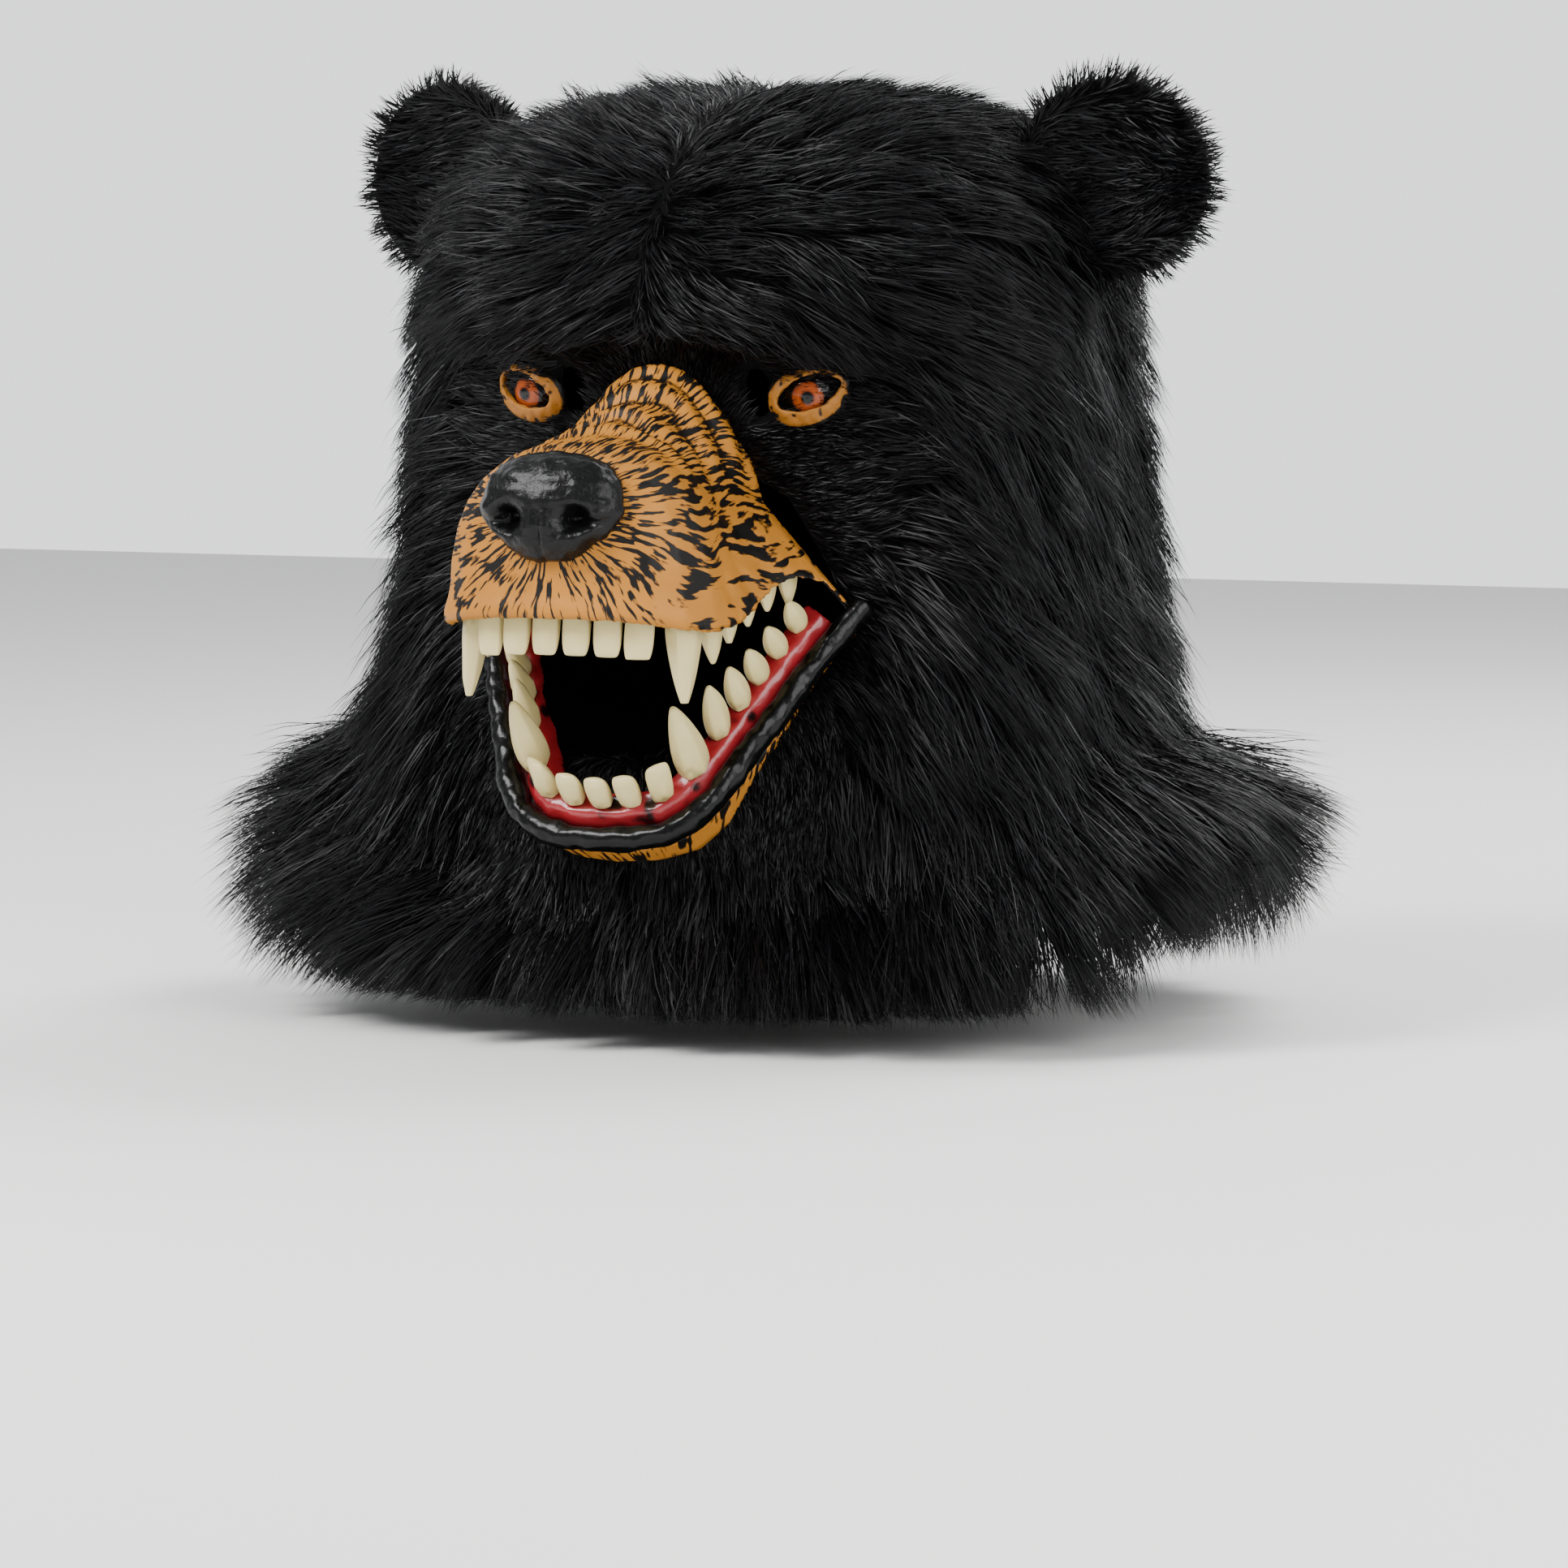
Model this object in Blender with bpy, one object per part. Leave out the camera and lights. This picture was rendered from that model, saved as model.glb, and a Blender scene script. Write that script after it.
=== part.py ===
"""Over-the-head bear mask: a fur-covered hood with two cup ears, a latex muzzle and lower jaw held open,
a nose pad, two gums with single teeth, a lip roll, and two eyes in their lids.

Metres, +Z up, the face looks towards -Y. The origin is the seat: the inside of the crown, where the top of
the wearer's head rests. X mirrors, so left and right are the wearer's own.
"""

import math

import bmesh
import bpy
import numpy as np
from mathutils import Matrix, Vector

# Hood: the cloth wall under the fur
HOOD_WALL = 0.003
HOOD_DROP = 0.335
HOOD_HALF_WIDTH = 0.134
HOOD_FRONT = 0.105
HOOD_BACK = 0.125
CHIN_BULGE = 0.034
CHIN_BULGE_HALF_WIDTH = 0.078
BROW_BULGE = 0.009
BROW_HALF_SPACING = 0.046
HOOD_COLUMNS = 28

# Fur
FUR_DEPTH = 0.024
FUR_CROWN_DEPTH = 0.015
FUR_FACE_DEPTH = 0.005
FUR_FRINGE = 0.030
FRINGE_AHEAD = 0.3
FRINGE_SHORT_LOCK = 0.78
FUR_SPREAD = 0.030
FUR_SEED = 7

# Face area, where the fur is shortest, about the eye line
FACE_HALF_WIDTH = 0.082
FACE_ABOVE_EYES = 0.012
FACE_BELOW_EYES = 0.190

# Ears
EAR_RADIUS = 0.041
EAR_THICKNESS = 0.014
EAR_DISH = 0.016
EAR_DROP = 0.024
EAR_HALF_SPACING = 0.147
EAR_SETBACK = 0.010
EAR_YAW_DEG = 12.0
EAR_LEAN_DEG = 10.0
EAR_SIDES = 16

# A row for each ring of an ear's disc, from the middle: share of the radius, share of half the thickness
EAR_PROFILE = ((0.0, 1.0), (0.35, 1.0), (0.65, 1.0), (0.88, 0.95), (0.97, 0.62), (1.0, 0.0))

# Eyes and the slits that the wearer looks through
EYE_DROP = 0.108
EYE_HALF_SPACING = 0.061
EYE_TILT_DEG = 20.0
EYE_TURN_DEG = 16.0
EYEBALL_RADIUS = 0.0140
EYELID_WIDTH = 0.037
EYELID_HEIGHT = 0.030
EYELID_STAND_OUT = 0.0075
SLIT_WIDTH = 0.012
SLIT_HEIGHT = 0.020
SLIT_HALF_SPACING = 0.0405

# Muzzle
MUZZLE_WALL = 0.0025
MUZZLE_REACH = 0.100
MUZZLE_HEIGHT = 0.100
MOUTH_HALF_WIDTH = 0.086

# Nose
NOSE_HALF_WIDTH = 0.0295
NOSE_HEIGHT = 0.042
NOSE_DEPTH = 0.018
NOSE_DROP = 0.022
NOSTRIL_RADIUS = 0.0075

# Lower jaw, held open
JAW_OPEN_DEG = 55.0
JAW_REACH = 0.112
JAW_DEPTH = 0.042
JAW_WALL = 0.0025
LIP_RADIUS = 0.0058
LIP_SIDES = 7
GUM_INSET = 0.0145
GUM_TOP = 0.011
GUM_FOOT = 0.014

# Upper teeth stand behind the lip, on a dark gum band
UPPER_INSET = 0.0122
BAND_THICKNESS = 0.014
BAND_HEIGHT = 0.014
CORNER_DROP = 0.086

GAP = 0.0004
COAT_GAP = 0.0006

# How far a cut runs on past the piece that it opens
CUT_PAST = 0.03

# Faces that turn less than this are one face
FLAT_ANGLE = math.radians(2.0)

EYE_Z = -EYE_DROP
UP = Vector((0, 0, 1))

# A row for each level of the hood. Drops are shares of HOOD_DROP, at the front, side and back. Width, front
# and back are shares of HOOD_HALF_WIDTH, HOOD_FRONT and HOOD_BACK, chin of CHIN_BULGE, brow of BROW_BULGE.
HOOD_COLUMN_NAMES = ("drop_front", "drop_side", "drop_back", "width", "front", "back", "chin", "brow")
HOOD_LEVELS = {
    "crown": (0.000, 0.000, 0.000, 0.00, 0.00, 0.00, 0.00, 0.00),
    "crown_top": (0.014, 0.012, 0.014, 0.42, 0.46, 0.46, 0.00, 0.00),
    "crown_edge": (0.050, 0.038, 0.045, 0.70, 0.74, 0.74, 0.00, 0.00),
    "forehead": (0.115, 0.095, 0.110, 0.86, 0.92, 0.90, 0.00, 0.15),
    "temple": (0.190, 0.180, 0.190, 0.93, 1.00, 0.97, 0.00, 0.70),
    "brow": (0.262, 0.262, 0.262, 0.95, 1.01, 1.00, 0.00, 1.00),
    "eye": (0.332, 0.332, 0.332, 0.96, 0.98, 1.00, 0.00, 0.10),
    "cheek_bone": (0.425, 0.425, 0.425, 0.97, 0.96, 1.00, 0.00, 0.00),
    "cheek": (0.515, 0.510, 0.515, 0.985, 0.97, 0.98, 0.05, 0.00),
    "mouth": (0.600, 0.585, 0.600, 1.00, 0.99, 0.95, 0.25, 0.00),
    "jaw": (0.690, 0.655, 0.690, 1.03, 1.00, 0.92, 0.70, 0.00),
    "chin": (0.785, 0.715, 0.775, 1.08, 0.99, 0.92, 1.00, 0.00),
    "throat": (0.875, 0.765, 0.850, 1.17, 0.99, 0.98, 0.80, 0.00),
    "collar": (0.940, 0.805, 0.910, 1.29, 1.06, 1.09, 0.40, 0.00),
    "hem": (1.000, 0.840, 0.965, 1.41, 1.18, 1.22, 0.15, 0.00),
}
HOOD_ROUNDNESS = 2.5

# A row for each section of the muzzle, from the rear to the tip. Reach is a share of MUZZLE_REACH ahead of the
# hood's front, width of MOUTH_HALF_WIDTH, top and lip of MUZZLE_HEIGHT above the eye line. Then the roundness of
# its arch, and how far its flanks are drawn in above the mouth, from 0 to 1.
MUZZLE_SECTIONS = {
    "rear": (-0.14, 0.98, 0.12, -0.99, 2.0, 0.85),
    "corner": (-0.03, 0.96, 0.12, -0.86, 2.0, 0.85),
    "back": (0.08, 0.88, 0.10, -0.74, 2.0, 0.85),
    "stop": (0.20, 0.80, 0.04, -0.71, 2.0, 0.75),
    "fold": (0.32, 0.74, -0.04, -0.75, 2.0, 0.60),
    "dip": (0.44, 0.70, -0.11, -0.82, 2.20, 0.34),
    "bridge": (0.58, 0.68, -0.15, -0.87, 2.45, 0.16),
    "pad": (0.73, 0.66, -0.18, -0.89, 2.70, 0.05),
    "front": (0.86, 0.59, -0.22, -0.865, 2.80, 0.00),
    "brim": (0.94, 0.47, -0.28, -0.84, 2.70, 0.00),
    "face": (0.985, 0.27, -0.37, -0.83, 2.30, 0.00),
    "tip": (1.00, 0.00, -0.50, -0.825, 2.30, 0.00),
}
MUZZLE_POINTS = 15
WAIST_DRAW = 0.50

# The jaw's rim seen along its normal: reach as a share of JAW_REACH, width of MOUTH_HALF_WIDTH
JAW_RIM = (
    (0.00, 1.00),
    (0.20, 0.865),
    (0.40, 0.755),
    (0.60, 0.645),
    (0.78, 0.545),
    (0.90, 0.440),
    (0.965, 0.315),
    (0.99, 0.175),
    (1.00, 0.00),
)

# The jaw's side from the rim down: drop and pull inwards, as shares of JAW_DEPTH
JAW_SIDES = ((0.0, 0.0), (0.30, 0.05), (0.62, 0.26), (0.86, 0.58), (1.0, 0.95))

# The mouth opening of the hood and coat seen from ahead: side, half width, height
MOUTH_OUTLINE = (
    (0.020, -0.128),
    (0.052, -0.150),
    (0.077, -0.190),
    (0.073, -0.206),
    (0.056, -0.232),
    (0.030, -0.252),
)
MOUTH_OUTLINE_SIGNED = [(1, x, z) for x, z in MOUTH_OUTLINE] + [(-1, x, z) for x, z in reversed(MOUTH_OUTLINE)]

# A tooth's sections: share of its length, of its width and of its thickness
INCISOR_FORM = ((0.0, 0.84, 0.84), (0.35, 0.97, 1.00), (0.80, 1.00, 0.70), (1.0, 0.80, 0.30))
CANINE_FORM = ((0.0, 0.92, 0.90), (0.25, 1.00, 1.00), (0.55, 0.80, 0.80), (0.82, 0.50, 0.52), (1.0, 0.20, 0.22))
CHEEK_FORM = ((0.0, 0.78, 0.84), (0.30, 1.00, 1.00), (0.68, 0.84, 0.76), (1.0, 0.22, 0.25))
TOOTH_SIDES = 6

# Teeth of one side, from the middle: place as a share of the half arch, then width, thickness and visible
# length in metres, lean out and lean along the arch in degrees, and the form.
UPPER_TEETH = {
    "incisor_1": (0.050, 0.0116, 0.0080, 0.0165, 8.0, 0.0, INCISOR_FORM),
    "incisor_2": (0.150, 0.0116, 0.0080, 0.0165, 8.0, 0.0, INCISOR_FORM),
    "incisor_3": (0.252, 0.0118, 0.0080, 0.0165, 8.0, 3.0, INCISOR_FORM),
    "canine": (0.392, 0.0165, 0.0130, 0.0285, 6.0, 5.0, CANINE_FORM),
    "cheek_1": (0.530, 0.0130, 0.0085, 0.0165, 6.0, 3.0, CHEEK_FORM),
    "cheek_2": (0.635, 0.0112, 0.0080, 0.0135, 4.0, 2.0, CHEEK_FORM),
    "cheek_3": (0.730, 0.0106, 0.0075, 0.0130, 4.0, 0.0, CHEEK_FORM),
    "cheek_4": (0.820, 0.0100, 0.0070, 0.0120, 4.0, 0.0, CHEEK_FORM),
    "cheek_5": (0.905, 0.0090, 0.0060, 0.0110, 4.0, 0.0, CHEEK_FORM),
}
LOWER_TEETH = {
    "incisor_2": (0.092, 0.0112, 0.0085, 0.0135, 10.0, 0.0, INCISOR_FORM),
    "incisor_3": (0.187, 0.0118, 0.0090, 0.0150, 10.0, 3.0, INCISOR_FORM),
    "canine": (0.312, 0.0172, 0.0145, 0.0300, 4.0, -8.0, CANINE_FORM),
    "cheek_1": (0.437, 0.0132, 0.0095, 0.0205, 2.0, 0.0, CHEEK_FORM),
    "cheek_2": (0.540, 0.0122, 0.0090, 0.0190, 2.0, 0.0, CHEEK_FORM),
    "cheek_3": (0.637, 0.0116, 0.0085, 0.0175, 2.0, 2.0, CHEEK_FORM),
    "cheek_4": (0.732, 0.0112, 0.0085, 0.0170, 2.0, 4.0, CHEEK_FORM),
    "cheek_5": (0.825, 0.0108, 0.0080, 0.0165, 2.0, 6.0, CHEEK_FORM),
}
LOWER_MIDDLE = (0.0, 0.0110, 0.0085, 0.0130, 10.0, 0.0, INCISOR_FORM)
# How far the lower front teeth stand up from the jaw's normal, and their width's share on its shorter arch
LOWER_UPRIGHT_DEG = 24.0
LOWER_FIT = 0.92
TOOTH_ROOT = 0.007
TOOTH_SET = 0.0015

COLOURS = {
    "black_fur": (0.012, 0.012, 0.014, 0.75),
    "black_cloth": (0.010, 0.010, 0.011, 0.90),
    "tan_latex": (0.50, 0.21, 0.045, 0.45),
    "black_latex": (0.012, 0.014, 0.014, 0.25),
    "dark_band": (0.020, 0.015, 0.012, 0.50),
    "tooth_ivory": (0.66, 0.55, 0.29, 0.25),
    "gum_red": (0.42, 0.020, 0.025, 0.25),
    "eye_black": (0.004, 0.004, 0.005, 0.06),
}


# Scene helpers

def clear_scene():
    """Removes every object, and leaves one collection for the mask and one for its cutters."""
    for obj in list(bpy.data.objects):
        bpy.data.objects.remove(obj, do_unlink=True)
    made = []
    for name in ("bear_mask", "cutters"):
        collection = bpy.data.collections.new(name)
        bpy.context.scene.collection.children.link(collection)
        made.append(collection)
    return made


def material(name):
    """A Principled material of the named colour and roughness."""
    found = bpy.data.materials.get(name)
    if found:
        return found
    red, green, blue, roughness = COLOURS[name]
    made = bpy.data.materials.new(name)
    made.use_nodes = True
    shader = made.node_tree.nodes["Principled BSDF"]
    shader.inputs["Base Color"].default_value = (red, green, blue, 1.0)
    shader.inputs["Roughness"].default_value = roughness
    return made


def add_object(name, mesh, finish=None, collection=None):
    """Links a mesh as a part with its material or, with no finish, as a hidden cutter."""
    obj = bpy.data.objects.new(name, mesh)
    (collection or (PARTS if finish else CUTTERS)).objects.link(obj)
    if finish:
        mesh.materials.append(material(finish))
    else:
        obj.hide_render = True
        obj.display_type = "WIRE"
    return obj


def mesh_of(name, points, faces):
    """A mesh of these points and faces, its doubles merged and its normals facing out."""
    mesh = bpy.data.meshes.new(name)
    mesh.from_pydata([tuple(p) for p in points], [], faces)
    work = bmesh.new()
    work.from_mesh(mesh)
    bmesh.ops.remove_doubles(work, verts=work.verts, dist=2e-6)
    bmesh.ops.recalc_face_normals(work, faces=work.faces)
    work.to_mesh(mesh)
    work.free()
    return mesh


def rings_mesh(name, rings, wrap=True, cap_start=False, cap_end=False):
    """A mesh lofted through rings of equally many points, each quad split along its shorter diagonal. An end can
    be closed by one face."""
    count = len(rings[0])
    points = [p for ring in rings for p in ring]
    faces = []
    for row in range(len(rings) - 1):
        for column in range(count if wrap else count - 1):
            here, there = row * count + column, row * count + (column + 1) % count
            below, beside = here + count, there + count
            if (points[here] - points[beside]).length < (points[there] - points[below]).length:
                faces += [(here, there, beside), (here, beside, below)]
            else:
                faces += [(here, there, below), (there, beside, below)]
    if cap_start:
        faces.append(tuple(range(count)))
    if cap_end:
        faces.append(tuple(range((len(rings) - 1) * count, len(rings) * count)))
    return mesh_of(name, points, faces)


def applied(obj):
    """The object with its modifiers turned into its mesh, in triangles."""
    bpy.context.view_layer.update()
    graph = bpy.context.evaluated_depsgraph_get()
    mesh = bpy.data.meshes.new_from_object(obj.evaluated_get(graph))
    work = bmesh.new()
    work.from_mesh(mesh)
    bmesh.ops.triangulate(work, faces=work.faces)
    work.to_mesh(mesh)
    work.free()
    obj.modifiers.clear()
    obj.data = mesh
    return obj


def combine(obj, other, operation):
    """Applies a Boolean of obj with another object."""
    modifier = obj.modifiers.new("with_" + other.name, "BOOLEAN")
    modifier.operation = operation
    modifier.solver = "EXACT"
    modifier.object = other
    return applied(obj)


def cut(obj, *cutters):
    """Subtracts each cutter from obj in turn."""
    for cutter in cutters:
        combine(obj, cutter, "DIFFERENCE")


def tidied(obj):
    """Drops the loose scraps that the cuts leave beside a part's main body, and the needless edges on it."""
    work = bmesh.new()
    work.from_mesh(obj.data)
    left, bodies = set(work.faces), []
    while left:
        body, waiting = set(), [left.pop()]
        while waiting:
            face = waiting.pop()
            body.add(face)
            for edge in face.edges:
                for other in edge.link_faces:
                    if other in left:
                        left.discard(other)
                        waiting.append(other)
        bodies.append(body)
    bodies.sort(key=len)
    for body in bodies[:-1]:
        bmesh.ops.delete(work, geom=list(body), context="FACES")
    bmesh.ops.dissolve_limit(work, angle_limit=FLAT_ANGLE, verts=work.verts, edges=work.edges)
    bmesh.ops.triangulate(work, faces=work.faces)
    work.to_mesh(obj.data)
    work.free()


def mirrored(obj, name):
    """A mirror copy of a finished part, across the middle plane."""
    mesh = obj.data.copy()
    mesh.transform(Matrix.Scale(-1, 4, (1, 0, 0)))
    mesh.flip_normals()
    copy = bpy.data.objects.new(name, mesh)
    PARTS.objects.link(copy)
    return copy


# Curves

def through(rows, count):
    """A smooth curve through rows of numbers, sampled evenly along its length."""
    rows = np.array(rows, float)
    padded = np.vstack([2 * rows[0] - rows[1], rows, 2 * rows[-1] - rows[-2]])
    samples = []
    for i in range(len(rows) - 1):
        a, b, c, d = padded[i:i + 4]
        for t in np.linspace(0, 1, 12, endpoint=False):
            samples.append(
                0.5 * (2 * b + (c - a) * t + (2 * a - 5 * b + 4 * c - d) * t**2 + (3 * b - a - 3 * c + d) * t**3)
            )
    samples.append(rows[-1])
    samples = np.array(samples)
    lengths = np.concatenate([[0], np.cumsum(np.linalg.norm(np.diff(samples[:, :3], axis=0), axis=1))])
    wanted = np.linspace(0, lengths[-1], count)
    return np.column_stack([np.interp(wanted, lengths, samples[:, k]) for k in range(samples.shape[1])])


def smooth_step(value, low, high):
    """0 below low, 1 above high, smooth between."""
    share = min(1.0, max(0.0, (value - low) / (high - low)))
    return share * share * (3 - 2 * share)


# Hood

HOOD_ROWS = np.array(list(HOOD_LEVELS.values()))


def hood_point(level, angle, away=0.0):
    """A point of the hood's outer face. Level counts the rows of HOOD_LEVELS, angle runs from the front to the
    wearer's left, and away moves the point out from the face."""
    level = min(max(level, 0.0), len(HOOD_ROWS) - 1.0)
    low = min(int(level), len(HOOD_ROWS) - 2)
    row = dict(zip(HOOD_COLUMN_NAMES, HOOD_ROWS[low] + (level - low) * (HOOD_ROWS[low + 1] - HOOD_ROWS[low])))
    side, ahead = math.sin(angle), math.cos(angle)
    power = 2 / HOOD_ROUNDNESS
    x = HOOD_HALF_WIDTH * row["width"] * math.copysign(abs(side) ** power, side)
    if ahead >= 0:
        chin = CHIN_BULGE * row["chin"] * math.exp(-((x / CHIN_BULGE_HALF_WIDTH) ** 4))
        brow = BROW_BULGE * row["brow"] * math.exp(-(((abs(x) - BROW_HALF_SPACING) / BROW_HALF_SPACING) ** 2) * 2)
        y = -HOOD_FRONT * row["front"] * ahead**power - (chin + brow) * min(1.0, ahead * 3)
        drop = row["drop_front"]
    else:
        y = HOOD_BACK * row["back"] * (-ahead) ** power
        drop = row["drop_back"]
    turned = side * side
    z = HOOD_WALL - HOOD_DROP * (drop + (row["drop_side"] - drop) * turned**2)
    return Vector((x, y, z)) + away * hood_normal(level, angle) if away else Vector((x, y, z))


def hood_normal(level, angle):
    """The hood's outward direction at a point."""
    step = 0.25
    if level < 0.3:
        return Vector((0, 0, 1))
    up = hood_point(max(level - step, 0.0), angle)
    down = hood_point(min(level + step, len(HOOD_ROWS) - 1.0), angle)
    right = hood_point(level, angle + 0.06)
    left = hood_point(level, angle - 0.06)
    return (right - left).cross(up - down).normalized()


def hood_front(x, z):
    """How far the hood's outer face reaches forward at x and z: a negative y."""
    best = None
    for level in np.linspace(2, len(HOOD_ROWS) - 1, 12 * (len(HOOD_ROWS) - 3) + 1):
        for angle in np.linspace(-math.pi / 2, math.pi / 2, 61):
            point = hood_point(level, angle)
            miss = (point.x - x) ** 2 + (point.z - z) ** 2
            if best is None or miss < best[0]:
                best = (miss, point.y)
    return best[1]


def hood_rings(away=0.0):
    """The rings of the hood's outer face, from the crown to the hem."""
    angles = [2 * math.pi * i / HOOD_COLUMNS for i in range(HOOD_COLUMNS)]
    return [[hood_point(level, angle, away) for angle in angles] for level in range(len(HOOD_ROWS))]


def hood_skin(name, away=0.0, closed=False):
    """The hood's outer face moved out by away, open at the hem or closed there as a cutter."""
    return rings_mesh(name, hood_rings(away), cap_end=closed)


# Muzzle

def muzzle_root():
    """The y of the hood's front at the eye line, where the muzzle's reach starts."""
    return -HOOD_FRONT * HOOD_LEVELS["eye"][4]


def muzzle_ring(row, away=0.0):
    """One arch of the muzzle, from the right lip's edge over the bridge to the left one."""
    reach, width, top, lip, roundness, waist = row
    y = muzzle_root() - MUZZLE_REACH * reach
    half, high, low = MOUTH_HALF_WIDTH * width, EYE_Z + MUZZLE_HEIGHT * top, EYE_Z + MUZZLE_HEIGHT * lip
    points = []
    for i in range(MUZZLE_POINTS):
        turn = math.pi * i / (MUZZLE_POINTS - 1)
        side, up = -math.cos(turn), math.sin(turn)
        x = (half + (away if half else 0)) * math.copysign(abs(side) ** (2 / roundness), side)
        z = low + (high - low + away) * max(0.0, up) ** (2 / roundness)
        rise = (z - low) / (high - low + away)
        x *= 1 - waist * WAIST_DRAW * smooth_step(rise, 0.0, 0.42)
        points.append(Vector((x, y - away * max(0.0, reach), z)))
    return points


def muzzle_skin(name, away=0.0, closed=False):
    """The muzzle's outer face: open below and behind, or closed there as a cutter."""
    rings = [muzzle_ring(row, away) for row in MUZZLE_SECTIONS.values()]
    if not closed:
        return rings_mesh(name, rings, wrap=False)
    return rings_mesh(name, rings, wrap=True, cap_start=True)


def lip_edge(count):
    """The right half of the upper lip's edge, from the middle to the corner: x, y, z rows at count places."""
    rows = [
        (
            MOUTH_HALF_WIDTH * width,
            muzzle_root() - MUZZLE_REACH * reach,
            EYE_Z + MUZZLE_HEIGHT * lip,
        )
        for reach, width, top, lip, roundness, waist in reversed(list(MUZZLE_SECTIONS.values())[2:])
    ]
    return through(rows, count)


# Jaw frame: s runs from the mouth's corners to the chin, h stands up out of the jaw

JAW_ALONG = Vector((0, -math.cos(math.radians(JAW_OPEN_DEG)), -math.sin(math.radians(JAW_OPEN_DEG))))
JAW_UP = Vector((0, -math.sin(math.radians(JAW_OPEN_DEG)), math.cos(math.radians(JAW_OPEN_DEG))))


JAW_ROOT = Vector((0, -HOOD_FRONT * HOOD_LEVELS["mouth"][4] + 0.012, EYE_Z - CORNER_DROP))


def jaw_point(x, s, h):
    """A point of the jaw's frame, in the mask's frame."""
    return JAW_ROOT + Vector((x, 0, 0)) + JAW_ALONG * float(s) + JAW_UP * float(h)


def rim_half(count):
    """The rim from the middle to the corner: x, s and 0."""
    rows = [(MOUTH_HALF_WIDTH * width, JAW_REACH * reach, 0.0) for reach, width in reversed(JAW_RIM)]
    return through(rows, count)


def both_sides(half):
    """A half path that starts in the middle, as a whole one from the right end to the left."""
    mirrored = np.array(half)[:0:-1].copy()
    mirrored[:, 0] *= -1
    return np.vstack([mirrored, half])


def inset(path, distance):
    """A whole path moved in its plan, its first two numbers, towards the inside of its U."""
    along = np.gradient(path[:, :2], axis=0)
    along /= np.linalg.norm(along, axis=1)[:, None]
    inward = np.column_stack([-along[:, 1], along[:, 0]])
    middle = path[len(path) // 2]
    rear = (path[0] + path[-1]) / 2
    if np.dot(inward[len(path) // 2], (rear - middle)[:2]) < 0:
        inward = -inward
    moved = path.copy()
    moved[:, :2] += distance * inward
    return moved


def resampled(path, count):
    """A path sampled again, evenly along its length."""
    lengths = np.concatenate([[0], np.cumsum(np.linalg.norm(np.diff(path, axis=0), axis=1))])
    wanted = np.linspace(0, lengths[-1], count)
    return np.column_stack([np.interp(wanted, lengths, path[:, k]) for k in range(path.shape[1])])


def along_path(path, share):
    """The place and the direction at a share of a path's length."""
    near = resampled(path, 401)
    index = min(399, max(1, int(round(share * 400))))
    direction = near[index + 1] - near[index - 1]
    return near[index], direction / np.linalg.norm(direction)


# Fur

def fur_depth(point, ahead):
    """How far the coat stands off the hood there: short on the crown and shorter still round the face."""
    crown = smooth_step(-point.z, 0.0, 0.06)
    full = FUR_CROWN_DEPTH + (FUR_DEPTH - FUR_CROWN_DEPTH) * crown
    if ahead <= 0:
        return full
    beside = max(0.0, abs(point.x) - FACE_HALF_WIDTH)
    beyond = max(0.0, point.z - (EYE_Z + FACE_ABOVE_EYES), EYE_Z - FACE_BELOW_EYES - point.z)
    share = smooth_step(math.hypot(beside, beyond), 0.0, FUR_SPREAD)
    return FUR_FACE_DEPTH + (full - FUR_FACE_DEPTH) * share


def fringe_point(column, angle, depth_share):
    """A point on the fringe's lower edge: past the hood's hem along its flare, longest at the sides and back."""
    last = len(HOOD_ROWS) - 1
    hem = hood_point(last, angle)
    flare = (hem - hood_point(last - 0.5, angle)).normalized()
    front = smooth_step(math.cos(angle), 0.2, 0.9)
    reach = FUR_FRINGE * (1 - (1 - FRINGE_AHEAD) * front) * (1.0 if column % 2 else FRINGE_SHORT_LOCK)
    depth = COAT_GAP + fur_depth(hem, math.cos(angle)) * depth_share
    return hem + reach * flare + depth * hood_normal(last, angle)


def coat_rings():
    """The rings of the coat: tiers of locks down its outside, then back up along the hood."""
    spread = np.random.default_rng(FUR_SEED)
    angles = [2 * math.pi * i / HOOD_COLUMNS for i in range(HOOD_COLUMNS)]
    last = len(HOOD_ROWS) - 1
    rings = [[hood_point(0, 0) + Vector((0, 0, FUR_CROWN_DEPTH))] * HOOD_COLUMNS]
    for tier in range(last):
        half = spread.uniform(-0.07, 0.07, HOOD_COLUMNS // 2 + 1)
        shifts = np.concatenate([half, half[-2:0:-1]])
        for share, depth_share in ((0.96, 1.0), (0.90, 0.62)):
            ring = []
            for column, angle in enumerate(angles):
                ahead = math.cos(angle)
                fullness = min(1.0, fur_depth(hood_point(tier + share, angle), ahead) / FUR_DEPTH)
                long_lock = 0.16 if (column + tier) % 2 else -0.16
                level = min(tier + share + fullness**2 * (long_lock + shifts[column]), last)
                surface = hood_point(level, angle)
                depth = fur_depth(surface, ahead) * depth_share
                ring.append(surface + max(depth, 0.0016) * hood_normal(level, angle))
            rings.append(ring)
    rings.append([fringe_point(column, angle, 0.42) for column, angle in enumerate(angles)])
    rings.append([fringe_point(column, angle, 0.06) for column, angle in enumerate(angles)])
    for level in range(len(HOOD_ROWS) - 1, -1, -1):
        rings.append([hood_point(level, angle, COAT_GAP) for angle in angles])
    return rings


# Shapes of the pieces

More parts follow.
